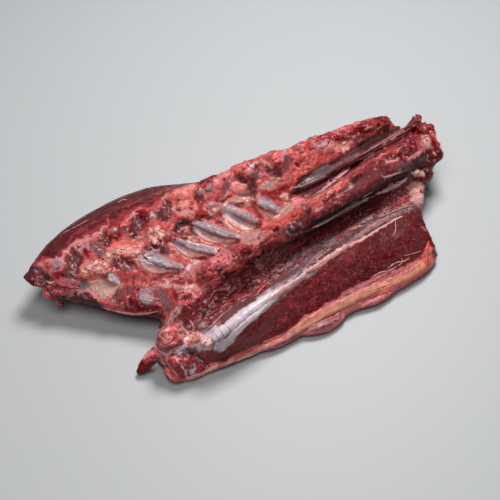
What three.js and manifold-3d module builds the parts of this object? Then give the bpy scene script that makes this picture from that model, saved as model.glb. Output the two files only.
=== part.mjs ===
// Raw venison backbone: the chine of a red deer with one loin left on it, lying with its inside up.
// One cut piece, so one closed solid. Millimetres, +Z up, X along the backbone, +Y away from the loin.
import * as THREE from "three";
import { mergeVertices } from "three/addons/utils/BufferGeometryUtils.js";
import Module from "manifold-3d";

// Driving dimensions.
const RIB_PITCH = 38.5; // from one rib to the next along the backbone
const FIRST_RIB_X = -205; // middle of the first sawn rib
const SAWN_RIBS = 9;
const SAWN_RIB = { length: 15, width: 15, height: 5, turn: 30 }; // the bone in the saw cut, turned from X
const SAWN_MIDDLE = 0.4; // how far down the saw cut the bone's middle lies
const RIB_SWELL = 1.8; // how far a sawn rib stands out of the sawn edge
const RIB_WIDTH = 15;
const RIB_THICKNESS = 9;
const FIRST_VERTEBRA_X = -119;
const VERTEBRAE = 9;
const VERTEBRA = { length: 19, width: 12, height: 6, turn: 20 };
const CHINE_SWELL = 2; // how far a vertebra stands out of the chine
const VARIATION = 0.25; // how much one of a row of like things differs from the next
const FLESH_ROUGHNESS = 0.8; // height of the uneven flesh between the named forms
const LONG_WAVES = { x: 23, y: 17 }; // length of its broad swells over a turn of one radian
const SHORT_WAVES = { x: 11, y: 13, crossX: 29, crossY: 8 }; // and of its small ones
const TOE_INSET = 13; // how far the far flank runs in below its widest edge
const FLANK_BEND = 0.4; // height at which the far flank bends under, as a share of its edge
const FLANK_RAISED = [0.65, 0.35, 0.1]; // how far its left end hangs clear, as a share of its height
const FLANK_END_INSET = 3; // how far the flank's ends run in
const MOUND_SHOULDER = 0.4; // how much steeper a mound is at its rim than a plain dome
const LUMP_UNEVENNESS = 0.12; // as a share of a lump's size
const BLUNT_END = 0.55; // size of a strand's end as a share of its middle
const STATIONS = 62; // sections along the piece
const RING_SPACING = 18; // between the sections of a strand
const FEWEST_RINGS = 5;
const THIN_STRAND = 11; // a narrower strand has fewer sides
const SEED = 1.7;

// The lines that the flesh is drawn over, each [x, y, z] from the left cut to the right cut, going
// round the piece from the back fat over the loin, the chine, the chest wall and the far muscle.
const FAT_EDGE = [
  [-142, -118, 5], [-104, -125, 6], [-51, -132, 6], [0, -140, 6], [52, -143, 6],
  [105, -146, 6], [150, -143, 7], [168, -134, 10],
];
const FAT_TOP = [
  [-132, -113, 12], [-94, -121, 15], [-60, -126, 19], [-21, -125, 22], [31, -125, 24],
  [85, -128, 24], [135, -129, 24], [173, -112, 24],
];
const SILVER_LOW = [
  [-137, -109, 34], [-102, -118, 45], [-57, -112, 50], [0, -99, 52], [62, -92, 50],
  [109, -87, 46], [150, -82, 42], [181, -84, 36],
];
const SILVER_HIGH = [
  [-146, -96, 42], [-96, -98, 50], [-52, -99, 53], [2, -92, 54], [59, -78, 53],
  [113, -69, 50], [153, -70, 46], [198, -70, 39],
];
const GUTTER = [
  [-151, -84, 44], [-97, -80, 37], [-57, -68, 34], [0, -62, 32], [74, -54, 31],
  [127, -52, 32], [177, -54, 33], [212, -56, 34],
];
const CHINE_LIP = [
  [-147, -70, 42], [-99, -65, 58], [-58, -59, 62], [0, -58, 64], [87, -51, 62],
  [134, -49, 60], [177, -47, 58], [229, -46, 42],
];
const CHINE_TOP = [
  [-140, -56, 42], [-100, -47, 60], [-67, -50, 71], [-23, -53, 77], [31, -49, 81],
  [89, -44, 83], [154, -36, 83], [208, -28, 75], [258, -32, 52],
];
const CHINE_FOOT = [
  [-142, -42, 37], [-110, -29, 45], [-74, -24, 49], [-3, -27, 55], [56, -18, 57],
  [117, -11, 57], [182, 1, 56], [227, 5, 54], [272, 6, 48],
];
const TROUGH = [
  [-160, -26, 32], [-98, -19, 39], [-38, -15, 42], [9, -8, 43], [73, 4, 42],
  [110, 6, 40], [154, 13, 38], [201, 22, 36], [268, 28, 38],
];
const RIB_TOP = [
  [-208, 20, 36], [-170, 23, 50], [-126, 22, 54], [-55, 24, 57], [0, 20, 58],
  [70, 15, 52], [120, 18, 49], [190, 27, 45], [254, 38, 38],
];
const SAWN_LOW = [
  [-231, 52, 40], [-205, 40, 48], [-173, 37, 53], [-119, 33, 57], [-40, 32, 61],
  [11, 28, 61], [58, 20, 60], [113, 25, 58], [194, 33, 51], [248, 43, 44],
];
const SAWN_HIGH = [
  [-233, 68, 44], [-196, 62, 56], [-134, 61, 65], [-69, 63, 69], [-5, 61, 73],
  [42, 58, 78], [98, 47, 79], [133, 49, 73], [190, 47, 65], [244, 48, 52],
];
const FAR_CREST = [
  [-233, 75, 45], [-196, 84, 55], [-134, 91, 60], [-69, 87, 60], [-12, 72, 61],
  [42, 62, 66], [98, 52, 70], [128, 54, 71], [200, 55, 61], [243, 53, 50],
];
const FAR_EDGE = [
  [-233, 78, 42], [-203, 97, 45], [-159, 113, 45], [-100, 119, 44], [-62, 115, 43],
  [-22, 96, 40], [42, 74, 38], [100, 62, 40], [133, 60, 50], [190, 61, 52], [242, 56, 44],
];
const UNDER_FAR = [
  [-227, 50, 27], [-200, 46, 16], [-160, 45, 3], [-120, 42, 0], [0, 34, 0],
  [120, 24, 0], [220, 34, 0], [248, 40, 6],
];
const UNDER_MID = [
  [-190, 4, 22], [-160, 2, 16], [-110, -4, 7], [-60, -8, 0], [100, -8, 0], [220, 0, 0], [262, 8, 8],
];
const UNDER_STEP = [
  [-144, -46, 23], [-126, -45, 14], [-95, -44, 4], [-60, -44, 0], [100, -40, 0],
  [200, -38, 0], [244, -30, 8],
];
const UNDER_LOIN = [
  [-168, -68, 0], [-120, -70, 0], [0, -70, 0], [100, -66, 0], [180, -60, 0], [214, -50, 4],
];
const NEAR_TOE = [
  [-157, -114, 0], [-104, -117, 0], [-51, -124, 0], [0, -131, 0], [52, -134, 0],
  [105, -137, 0], [150, -134, 0], [162, -126, 0],
];

const point = (key) => new THREE.Vector3(...key);
const smooth = (keys) => new THREE.CatmullRomCurve3(keys.map(point), false, "centripetal");

// The far edge's line lower down: moved in by the inset, at a share of its height.
function flankLine(share) {
  const last = FAR_EDGE.length - 1;
  return smooth(
    FAR_EDGE.map(([x, y, z], i) => {
      const raised = FLANK_RAISED[i] ?? 0;
      const along = { 0: FLANK_END_INSET, [last]: -FLANK_END_INSET }[i] ?? 0;
      return [x + along, y - TOE_INSET * (1 - share), z * (raised + (1 - raised) * share)];
    }),
  );
}

// Height of uneven flesh at a place: crossed waves of different length.
function unevenness({ x, y }) {
  const long = Math.sin(x / LONG_WAVES.x + SEED) * Math.cos(y / LONG_WAVES.y - SEED);
  const slanting = Math.sin(x / SHORT_WAVES.x + y / SHORT_WAVES.y + 2 * SEED);
  const short = slanting * Math.cos(y / SHORT_WAVES.crossY - x / SHORT_WAVES.crossX);
  return FLESH_ROUGHNESS * (long + short);
}

// 1 at the middle of a rib or vertebra, -1 half way to the next.
const rhythm = (x, first) => Math.cos((2 * Math.PI * (x - first)) / RIB_PITCH);
const ribSwell = ({ x }) => RIB_SWELL * rhythm(x, FIRST_RIB_X);
const chineSwell = ({ x }) => CHINE_SWELL * rhythm(x, FIRST_VERTEBRA_X);

// Each line going round, with the number of steps to the next one and what swells along it.
const AROUND = [
  { line: smooth(FAT_EDGE), steps: 2, swell: unevenness },
  { line: smooth(FAT_TOP), steps: 4 },
  { line: smooth(SILVER_LOW), steps: 2 },
  { line: smooth(SILVER_HIGH), steps: 2 },
  { line: smooth(GUTTER), steps: 2, swell: unevenness },
  { line: smooth(CHINE_LIP), steps: 3, swell: unevenness },
  { line: smooth(CHINE_TOP), steps: 4, swell: chineSwell },
  { line: smooth(CHINE_FOOT), steps: 3, swell: unevenness },
  { line: smooth(TROUGH), steps: 4 },
  { line: smooth(RIB_TOP), steps: 3, swell: unevenness },
  { line: smooth(SAWN_LOW), steps: 4, swell: ribSwell },
  { line: smooth(SAWN_HIGH), steps: 3, swell: ribSwell },
  { line: smooth(FAR_CREST), steps: 2, swell: unevenness },
  { line: smooth(FAR_EDGE), steps: 1 },
  { line: flankLine(FLANK_BEND), steps: 1 },
  { line: flankLine(0), steps: 2 },
  { line: smooth(UNDER_FAR), steps: 1 },
  { line: smooth(UNDER_MID), steps: 1 },
  { line: smooth(UNDER_STEP), steps: 1 },
  { line: smooth(UNDER_LOIN), steps: 2 },
  { line: smooth(NEAR_TOE), steps: 1 },
];
const UPPER_LINES = 14; // of these, the ones that show from above

// A low mound on the flesh: its middle, half length, half width, height and turn in degrees from X.
function mound(x, y, length, width, height, turn) {
  const angle = THREE.MathUtils.degToRad(turn);
  return { x, y, length, width, height, cos: Math.cos(angle), sin: Math.sin(angle) };
}

// The size of one of a row of like things, each a little different from the last.
const varied = (size, i) => size * (1 + VARIATION * Math.sin(2.4 * i + size));

// The ribs' sawn ends, one each pitch, between the two lines of the saw cut.
function sawnRibs() {
  const [high, low] = [smooth(SAWN_HIGH), smooth(SAWN_LOW)];
  return Array.from({ length: SAWN_RIBS }, (_, i) => {
    const x = FIRST_RIB_X + i * RIB_PITCH;
    const share = (x - SAWN_HIGH[0][0]) / (SAWN_HIGH.at(-1)[0] - SAWN_HIGH[0][0]);
    const { y } = high.getPointAt(share).lerp(low.getPointAt(share), SAWN_MIDDLE);
    const { length, width, height, turn } = SAWN_RIB;
    return mound(x, y, varied(length, i), varied(width, i), varied(height, i), turn);
  });
}

// The vertebrae, as knuckles along the top of the chine.
function vertebrae() {
  const top = smooth(CHINE_TOP);
  return Array.from({ length: VERTEBRAE }, (_, i) => {
    const x = FIRST_VERTEBRA_X + i * RIB_PITCH;
    const share = (x - CHINE_TOP[0][0]) / (CHINE_TOP.at(-1)[0] - CHINE_TOP[0][0]);
    const { y } = top.getPointAt(share);
    const { length, width, height, turn } = VERTEBRA;
    return mound(x, y + 1, varied(length, i), varied(width, i), varied(height, i), turn);
  });
}

// Lobes of fat and gristle: over the ribs' upper ends at the left, and at the ribs' heads.
function fatLobes() {
  return [
    mound(-178, 33, 19, 12, 7, 10),
    mound(-152, 37, 17, 9, 6, -10),
    mound(-140, 24, 22, 11, 8, -20),
    mound(-156, 14, 15, 8, 6, -40),
    mound(-99, 31, 13, 14, 8, 20),
    mound(-62, 36, 22, 10, 7, -15),
    mound(-48, -34, 20, 13, 5, -20),
    mound(-10, -20, 19, 12, 7, -35),
    mound(44, -11, 14, 10, 6, -20),
  ];
}

// Scraps and knuckles on the chine's steep sides, and the pits between them.
function chineScraps() {
  return [
    mound(-128, -62, 14, 10, 7, 30),
    mound(-108, -72, 10, 8, 6, 60),
    mound(-84, -66, 12, 7, -7, 40),
    mound(-52, -66, 13, 7, -6, 20),
    mound(-5, -66, 12, 8, 6, 10),
    mound(20, -36, 14, 8, 5, 20),
    mound(96, -30, 17, 8, 5, 15),
    mound(150, -24, 18, 8, 6, 15),
    mound(213, -17, 17, 12, 8, 15),
    mound(176, -38, 14, 9, -5, 10),
  ];
}

// The loin: its end by the saw cut, a crease near the left and soft rolls towards the back fat.
function loinRolls() {
  return [
    mound(-118, -92, 13, 10, 6, 50),
    mound(-122, -104, 14, 6, 4, 10),
    mound(-48, -119, 26, 4, -4, 14),
    mound(-12, -112, 20, 3, -3, 20),
    mound(60, -112, 60, 16, 4, 4),
    mound(140, -108, 26, 14, 4, 0),
  ];
}

const MOUNDS = [sawnRibs(), vertebrae(), fatLobes(), chineScraps(), loinRolls()].flat();

// Height that the mounds add at a place.
function relief({ x, y }) {
  return MOUNDS.reduce((sum, mound) => {
    const along = ((x - mound.x) * mound.cos + (y - mound.y) * mound.sin) / mound.length;
    const across = ((y - mound.y) * mound.cos - (x - mound.x) * mound.sin) / mound.width;
    const far = along * along + across * across;
    return far < 1 ? sum + mound.height * (1 - far) * (1 - MOUND_SHOULDER * far) : sum;
  }, 0);
}

// The closed section at a share of the way from the left cut to the right cut.
function section(share) {
  const corners = AROUND.map(({ line, swell }) => {
    const corner = line.getPointAt(share);
    if (swell) corner.z += swell(corner);
    return corner;
  });
  const outline = new THREE.CatmullRomCurve3(corners, true, "centripetal");
  const ring = [];
  AROUND.forEach(({ steps }, k) => {
    for (let j = 0; j < steps; j += 1) {
      const corner = outline.getPoint((k + j / steps) / AROUND.length);
      if (k < UPPER_LINES) corner.z += relief(corner);
      corner.z = Math.max(corner.z, 0);
      ring.push(corner);
    }
  });
  return ring;
}

// Triangles of a cut face: its upper edge laced to its lower edge, both going from -Y to +Y.
function lace(ring, upperCount) {
  const upper = Array.from({ length: upperCount }, (_, i) => i);
  const lower = Array.from({ length: ring.length - upperCount }, (_, i) => ring.length - 1 - i);
  const triangles = [];
  let i = 0;
  let j = 0;
  while (i < upper.length - 1 || j < lower.length - 1) {
    const nextUpper = i < upper.length - 1 ? ring[upper[i + 1]].y : Infinity;
    const nextLower = j < lower.length - 1 ? ring[lower[j + 1]].y : Infinity;
    if (nextUpper < nextLower) {
      triangles.push([upper[i], upper[i + 1], lower[j]]);
      i += 1;
    } else {
      triangles.push([upper[i], lower[j + 1], lower[j]]);
      j += 1;
    }
  }
  return triangles;
}

// A closed skin over rings of points, its ends closed by the given triangles of the first ring.
function skin(rings, endTriangles) {
  const around = rings[0].length;
  const index = [];
  for (let i = 0; i < rings.length - 1; i += 1) {
    for (let j = 0; j < around; j += 1) {
      const a = i * around + j;
      const b = i * around + ((j + 1) % around);
      index.push(a, a + around, b, b, a + around, b + around);
    }
  }
  const lastRing = (rings.length - 1) * around;
  endTriangles(rings[0]).forEach(([a, b, c]) => index.push(a, b, c));
  endTriangles(rings.at(-1)).forEach(([a, b, c]) => index.push(lastRing + a, lastRing + c, lastRing + b));
  const geometry = new THREE.BufferGeometry();
  geometry.setAttribute(
    "position",
    new THREE.Float32BufferAttribute(rings.flat().flatMap((p) => [p.x, p.y, p.z]), 3),
  );
  geometry.setIndex(index);
  return geometry;
}

// The flesh: its sections under one skin.
function fleshGeometry() {
  const rings = Array.from({ length: STATIONS + 1 }, (_, i) => section(i / STATIONS));
  const upperSteps = AROUND.slice(0, UPPER_LINES - 1).reduce((sum, { steps }) => sum + steps, 1);
  return skin(rings, (ring) => lace(ring, upperSteps));
}

// An uneven rounded lump, such as a vertebra, a knuckle of cartilage or a lobe of fat.
function lump(centre, [rx, ry, rz], turn = 0) {
  const geometry = new THREE.IcosahedronGeometry(1, 1);
  const place = geometry.attributes.position;
  const corner = new THREE.Vector3();
  for (let i = 0; i < place.count; i += 1) {
    corner.fromBufferAttribute(place, i);
    const phase = centre[0] * 0.37 + SEED;
    const swell = Math.sin(3 * corner.x + phase) * Math.cos(2.6 * corner.y - phase);
    corner.multiplyScalar(1 + LUMP_UNEVENNESS * swell);
    place.setXYZ(i, corner.x, corner.y, corner.z);
  }
  geometry.scale(rx, ry, rz);
  geometry.rotateZ(THREE.MathUtils.degToRad(turn));
  geometry.translate(...centre);
  return geometry;
}

// A long form along a line, such as a rib, a muscle or a tendon: an oval section that thins to its ends.
function strand(keys, width, thickness, blunt = BLUNT_END) {
  const sides = width < THIN_STRAND ? 6 : 8;
  const line = smooth(keys);
  const rings = Math.max(FEWEST_RINGS, Math.round(line.getLength() / RING_SPACING));
  const up = new THREE.Vector3(0, 0, 1);
  const ringAt = (i) => {
    const share = i / (rings - 1);
    const along = line.getTangentAt(share);
    const across = new THREE.Vector3().crossVectors(along, up).normalize();
    const over = new THREE.Vector3().crossVectors(across, along);
    const size = blunt + (1 - blunt) * Math.sin(Math.PI * share);
    return Array.from({ length: sides }, (_, k) => {
      const angle = (2 * Math.PI * k) / sides;
      return line
        .getPointAt(share)
        .addScaledVector(across, 0.5 * width * size * Math.cos(angle))
        .addScaledVector(over, 0.5 * thickness * size * Math.sin(angle));
    });
  };
  const fan = (ring) => ring.slice(2).map((_, k) => [0, k + 1, k + 2]);
  return skin(Array.from({ length: rings }, (_, i) => ringAt(i)), fan);
}

// The inner face of each rib that shows, from under the sawn edge down into the trough.
function ribs() {
  return [
    [[-171, 21, 52], [-159, 7, 40]],
    [[-135, 22, 55], [-114, 3, 50], [-94, -14, 44]],
    [[-90, 22, 58], [-72, 1, 52], [-54, -17, 46]],
    [[-61, 30, 59], [-42, 6, 54], [-21, -14, 47]],
    [[-20, 29, 60], [-5, 10, 55], [8, -11, 49]],
    [[15, 19, 60], [27, 4, 55], [39, -11, 50]],
  ].map((keys) => strand(keys, RIB_WIDTH, RIB_THICKNESS));
}

// The torn end of the chest wall at the left: its lips, rib cartilage and hanging scraps.
function chestWallEnd() {
  return [
    lump([-233, 64, 40], [9, 13, 6], 20),
    strand([[-228, 70, 40], [-237, 75, 38], [-243, 74, 37]], 5, 4, 0.3),
    lump([-222, 42, 31], [12, 10, 7], -40),
    strand([[-218, 40, 30], [-221, 36, 23], [-220, 32, 16]], 10, 8, 0.4),
    lump([-202, 24, 30], [11, 7, 6], -30),
    lump([-178, -2, 29], [10, 9, 7], -30),
    lump([-150, -24, 33], [11, 8, 7], -50),
    strand([[-160, -14, 38], [-141, -36, 36], [-134, -50, 34]], 12, 8),
    strand([[-186, 5, 27], [-168, -17, 25], [-150, -32, 26]], 9, 8),
  ];
}

// Long muscles on the trough's floor and far wall towards the right end.
function troughMuscles() {
  return [
    strand([[62, 12, 50], [114, 15, 48], [160, 22, 47], [221, 30, 44], [252, 36, 42]], 12, 10),
    strand([[80, 22, 56], [119, 23, 54], [152, 27, 51]], 13, 8),
    strand([[150, 14, 46], [200, 19, 47], [238, 21, 48], [276, 29, 46]], 11, 9),
    strand([[40, -6, 50], [96, 0, 44], [150, 8, 41]], 11, 9),
  ];
}

// The muscle roll along the chine, with the edge of membrane below it on each stretch.
function chineMuscles() {
  return [
    strand([[45, -52, 74], [90, -50, 76], [146, -43, 75], [200, -35, 66]], 24, 20),
    strand([[14, -58, 58], [52, -56, 58], [84, -54, 57]], 5, 6),
    strand([[92, -50, 56], [135, -50, 54], [187, -48, 50]], 7, 7),
  ];
}

// The knob of muscle that the far wall ends in at the right.
function farWallEnd() {
  return [
    strand([[112, 49, 68], [150, 46, 65], [195, 48, 59], [240, 48, 51]], 19, 16, 0.75),
    lump([122, 49, 69], [13, 8, 7], 20),
  ];
}

// The chine's right end: cartilage, lobes of muscle and the pointed tip of the trough's long muscle.
function chineEnd() {
  return [
    lump([213, -18, 66], [15, 12, 9], 20),
    lump([243, -20, 58], [13, 13, 10], -30),
    lump([246, -33, 48], [11, 10, 11], 0),
    lump([220, -48, 38], [12, 8, 11], 10),
    lump([266, 4, 50], [10, 14, 7], 20),
    strand([[250, 20, 46], [268, 28, 47], [281, 33, 47]], 12, 9, 0.35),
  ];
}

// The silver skin where it is thickest, on the loin's left half.
function silverSkin() {
  return [strand([[-130, -112, 44], [-101, -111, 49], [-63, -104, 52], [-4, -97, 53]], 15, 6)];
}

// The loin's left cut: bundles of muscle, a ligament and the pointed flap.
function loinEnd() {
  return [
    lump([-154, -84, 36], [14, 13, 12], 10),
    lump([-161, -90, 25], [11, 10, 10], 40),
    lump([-152, -104, 18], [14, 12, 15], 0),
    lump([-160, -103, 9], [11, 12, 9], 20),
    lump([-143, -112, 11], [12, 7, 10], 10),
    strand([[-160, -78, 28], [-172, -77, 15], [-192, -80, 5]], 18, 11, 0.35),
  ];
}

// Soft lobes that hang from the back fat's lower edge.
function fatEdgeLobes() {
  return [
    strand([[-72, -128, 7], [-50, -131, 7], [-30, -134, 6]], 9, 9, 0.4),
    strand([[-22, -135, 7], [2, -141, 7], [26, -141, 7]], 13, 12, 0.5),
    strand([[48, -142, 8], [72, -145, 8], [96, -144, 8]], 8, 9, 0.4),
  ];
}

// The loin's right end beyond the fat.
function loinTip() {
  return [lump([158, -121, 14], [14, 12, 9], 60), lump([150, -134, 8], [17, 7, 7], 5)];
}

const wasm = await Module();
wasm.setup();

// A closed geometry as a solid that can be joined.
function solid(geometry) {
  const bare = geometry.clone();
  bare.deleteAttribute("normal");
  bare.deleteAttribute("uv");
  const merged = mergeVertices(bare, 1e-4);
  return new wasm.Manifold(
    new wasm.Mesh({
      numProp: 3,
      vertProperties: merged.attributes.position.array,
      triVerts: new Uint32Array(merged.index.array),
    }),
  );
}

function backboneGeometry() {
  const forms = [
    ribs(), chestWallEnd(), troughMuscles(), chineMuscles(), farWallEnd(), chineEnd(), silverSkin(),
    fatEdgeLobes(), loinEnd(), loinTip(),
  ].flat();
  const whole = forms.reduce((body, form) => body.add(solid(form)), solid(fleshGeometry()));
  const { vertProperties, triVerts } = whole.getMesh();
  const geometry = new THREE.BufferGeometry();
  geometry.setAttribute("position", new THREE.BufferAttribute(vertProperties, 3));
  geometry.setIndex(new THREE.BufferAttribute(triVerts, 1));
  geometry.computeVertexNormals();
  geometry.computeBoundingBox();
  return geometry;
}

const rawMeat = new THREE.MeshStandardMaterial({ color: 0x7a2b30, roughness: 0.4, metalness: 0 });
const backbone = new THREE.Mesh(backboneGeometry(), rawMeat);
backbone.name = "backbone";

// The origin is the middle of the underside.
const { min, max } = backbone.geometry.boundingBox;
backbone.position.set(-0.5 * (min.x + max.x), -0.5 * (min.y + max.y), -min.z);

const part = new THREE.Group();
part.add(backbone);

export default part;
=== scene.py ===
import math
import random

import bmesh
import bpy
import numpy as np
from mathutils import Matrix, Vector, noise
from mathutils.bvhtree import BVHTree


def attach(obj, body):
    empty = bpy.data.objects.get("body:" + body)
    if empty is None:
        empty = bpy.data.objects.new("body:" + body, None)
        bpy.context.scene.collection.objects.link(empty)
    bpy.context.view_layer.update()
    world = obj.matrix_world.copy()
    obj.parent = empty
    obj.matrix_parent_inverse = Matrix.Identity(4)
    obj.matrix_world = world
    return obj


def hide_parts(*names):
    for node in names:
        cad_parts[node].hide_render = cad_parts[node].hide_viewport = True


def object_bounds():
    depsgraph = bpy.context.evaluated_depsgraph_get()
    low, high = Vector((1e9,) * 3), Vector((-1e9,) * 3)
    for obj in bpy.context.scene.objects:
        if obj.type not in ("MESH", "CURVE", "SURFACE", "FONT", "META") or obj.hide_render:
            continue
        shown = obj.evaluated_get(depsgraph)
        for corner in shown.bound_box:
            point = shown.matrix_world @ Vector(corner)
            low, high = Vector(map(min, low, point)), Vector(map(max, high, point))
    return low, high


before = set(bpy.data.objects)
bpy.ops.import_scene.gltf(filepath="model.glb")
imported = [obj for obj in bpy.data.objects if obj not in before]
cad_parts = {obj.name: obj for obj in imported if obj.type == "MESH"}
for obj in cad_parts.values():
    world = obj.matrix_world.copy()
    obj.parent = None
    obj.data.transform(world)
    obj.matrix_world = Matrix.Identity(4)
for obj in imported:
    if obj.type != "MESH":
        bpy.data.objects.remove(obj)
solid_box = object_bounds()

# THE VIEWPOINT
# The piece lies with its loin towards the viewer, looked down on from the left end, about 48
# degrees above the bench. Its parts are traced as they appear in a square picture 500 wide.
EYE = Vector((-0.3810, -0.5212, 0.7184))
AIM = Vector((-0.0193, 0.0150, 0.0))
LENS_MM = 60.0
SENSOR_MM = 36.0
PICTURE = 500


def put_in_scene(name, data):
    """Makes an object of a mesh, a camera or a lamp and adds it to the scene."""
    thing = bpy.data.objects.new(name, data)
    bpy.context.scene.collection.objects.link(thing)
    return thing


def look_from(name, data, place):
    """Sets a camera or a lamp in its place, turned to the middle of the piece."""
    body = put_in_scene(name, data)
    body.location = place
    body.rotation_euler = (AIM - Vector(place)).to_track_quat("-Z", "Y").to_euler()
    return body


lens = bpy.data.cameras.new("eye")
lens.lens = LENS_MM
lens.sensor_width = SENSOR_MM
bpy.context.scene.camera = look_from("eye", lens, EYE)

AHEAD = (AIM - EYE).normalized()
ASIDE = AHEAD.cross(Vector((0, 0, 1))).normalized()
ABOVE = ASIDE.cross(AHEAD)
SPREAD = SENSOR_MM / 2 / LENS_MM
HALF = PICTURE / 2


def sight(u, v):
    """Direction from the eye through a place in the picture."""
    return (AHEAD + ASIDE * SPREAD * (u - HALF) / HALF + ABOVE * SPREAD * (HALF - v) / HALF).normalized()


def in_picture(places):
    """Picture coordinates of places on the meat, one row each."""
    away = places - np.array(EYE)
    depth = away @ np.array(AHEAD)
    u = HALF + HALF * (away @ np.array(ASIDE)) / depth / SPREAD
    v = HALF - HALF * (away @ np.array(ABOVE)) / depth / SPREAD
    return np.stack([u, v], 1)


# THE FLESH
# One connected mass of back meat and bone: loin, chine, chest wall and sawn ribs. It is wet,
# cut and torn by hand, so its surface is worked up from the solid in lumps, fibres and cracks.
MM = 0.001
SHIFT = np.array([-19.3, 15.0, 0.0])
VOXEL = 1.6 * MM
WELD = 0.01 * MM
EVEN_PASSES = 4
FACING_DOWN = -0.25
KEPT_BELOW = 0.64
CLEAR_OF_SKIN = 1.5 * MM
GRAZING = 0.2
SEED_STEP = 7.31

# Lengthwise lines over the mass, from the fat at the front to the far edge, in millimetres.
BANDS = [
    [(-142, -118, 5), (0, -140, 6), (105, -146, 6), (168, -134, 10)],
    [(-132, -113, 12), (-60, -126, 19), (85, -128, 24), (173, -112, 24)],
    [(-137, -109, 34), (-57, -112, 50), (62, -92, 50), (181, -84, 36)],
    [(-146, -96, 42), (-52, -99, 53), (59, -78, 53), (198, -70, 39)],
    [(-151, -84, 44), (-57, -68, 34), (74, -54, 31), (212, -56, 34)],
    [(-147, -70, 42), (-58, -59, 62), (87, -51, 62), (229, -46, 42)],
    [(-140, -56, 42), (-67, -50, 71), (31, -49, 81), (154, -36, 83), (258, -32, 52)],
    [(-142, -42, 37), (-74, -24, 49), (56, -18, 57), (182, 1, 56), (272, 6, 48)],
    [(-160, -26, 32), (-38, -15, 42), (73, 4, 42), (154, 13, 38), (268, 28, 38)],
    [(-208, 20, 36), (-126, 22, 54), (0, 20, 58), (120, 18, 49), (254, 38, 38)],
    [(-231, 52, 40), (-119, 33, 57), (11, 28, 61), (113, 25, 58), (248, 43, 44)],
    [(-233, 68, 44), (-134, 61, 65), (-5, 61, 73), (98, 47, 79), (244, 48, 52)],
    [(-233, 75, 45), (-134, 91, 60), (-12, 72, 61), (98, 52, 70), (243, 53, 50)],
    [(-233, 78, 42), (-159, 113, 45), (-62, 115, 43), (38, 74, 38), (242, 56, 44)],
]


def field(places, size, seed=0.0, stretch=(1, 1, 1)):
    """Smooth random values, about -1 to 1, with lumps of the given size in metres."""
    scaled = places / (size * np.array(stretch)) + seed * SEED_STEP
    return np.array([noise.noise(p) for p in scaled])


def tone(red, green, blue):
    """A colour as the eye names it, from 0 to 255, as light."""
    seen_as = np.array([red, green, blue]) / 255
    return np.where(seen_as <= 0.04045, seen_as / 12.92, ((seen_as + 0.055) / 1.055) ** 2.4)


def smooth_step(value, low, high):
    """0 below low, 1 above high, and an even rise between them."""
    share = np.clip((value - low) / (high - low), 0, 1)
    return share * share * (3 - 2 * share)


def lay_over(tints, share, over):
    """One tone over another, where share is 1 wholly and where it is 0 not at all."""
    return tints * (1 - share[:, None]) + over * share[:, None]


def band_of(places):
    """The lengthwise band a place lies in, as a number between two of the lines, and how far off."""
    at = places / MM - SHIFT
    lines = []
    for line in BANDS:
        line = np.array(line)
        lines.append(np.stack([np.interp(at[:, 0], line[:, 0], line[:, k]) for k in (1, 2)], 1))
    best = np.full(len(at), 1e9)
    band = np.zeros(len(at))
    for i in range(len(lines) - 1):
        along = lines[i + 1] - lines[i]
        off = at[:, 1:] - lines[i]
        share = np.clip((off * along).sum(1) / np.maximum((along * along).sum(1), 1e-6), 0, 1)
        gap = np.linalg.norm(off - share[:, None] * along, axis=1)
        closer = gap < best
        best[closer] = gap[closer]
        band[closer] = (i + share)[closer]
    return band, best


def solid_mesh(bm, name):
    """Turns a bmesh that is done with into a mesh."""
    mesh = bpy.data.meshes.new(name)
    bm.to_mesh(mesh)
    bm.free()
    return mesh


def even_out(bm, verts, passes):
    """Draws each vertex halfway to its neighbours, as many times as there are passes."""
    for _ in range(passes):
        bmesh.ops.smooth_vert(bm, verts=verts, factor=0.5, use_axis_x=True, use_axis_y=True, use_axis_z=True)


def fine_flesh():
    """The solid remeshed finely enough to be worked by hand, and coarser where it faces down."""
    bm = bmesh.new()
    bm.from_mesh(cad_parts["backbone"].data)
    bmesh.ops.remove_doubles(bm, verts=bm.verts, dist=WELD)
    fine = worked_over(solid_mesh(bm, "coarse_flesh"), remesh_finely)
    bm = bmesh.new()
    bm.from_mesh(fine)
    even_out(bm, bm.verts, EVEN_PASSES)
    return worked_over(solid_mesh(bm, "even_flesh"), thin_out_below)


def worked_over(mesh, change):
    """The mesh after a modifier that change sets up."""
    body = put_in_scene(mesh.name, mesh)
    change(body)
    result = bpy.data.meshes.new_from_object(body.evaluated_get(bpy.context.evaluated_depsgraph_get()))
    bpy.data.objects.remove(body)
    return result


def remesh_finely(body):
    remesh = body.modifiers.new("fine", "REMESH")
    remesh.mode = "VOXEL"
    remesh.voxel_size = VOXEL


def thin_out_below(body):
    """Fewer, larger triangles where the flesh faces the bench."""
    below = body.vertex_groups.new(name="below")
    below.add([v.index for v in body.data.vertices if v.normal.z < FACING_DOWN], 1.0, "REPLACE")
    thin = body.modifiers.new("thin_out", "DECIMATE")
    thin.vertex_group = "below"
    thin.ratio = KEPT_BELOW


def arrays(mesh):
    """Where each vertex lies and the way it faces, one row each."""
    places = np.zeros(len(mesh.vertices) * 3)
    mesh.vertices.foreach_get("co", places)
    normals = np.zeros(len(mesh.vertices) * 3)
    mesh.vertices.foreach_get("normal", normals)
    return places.reshape(-1, 3), normals.reshape(-1, 3)


def skin_of(mesh):
    """The mesh's surface, for rays to meet."""
    return BVHTree.FromPolygons([v.co for v in mesh.vertices], [p.vertices for p in mesh.polygons])


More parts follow.
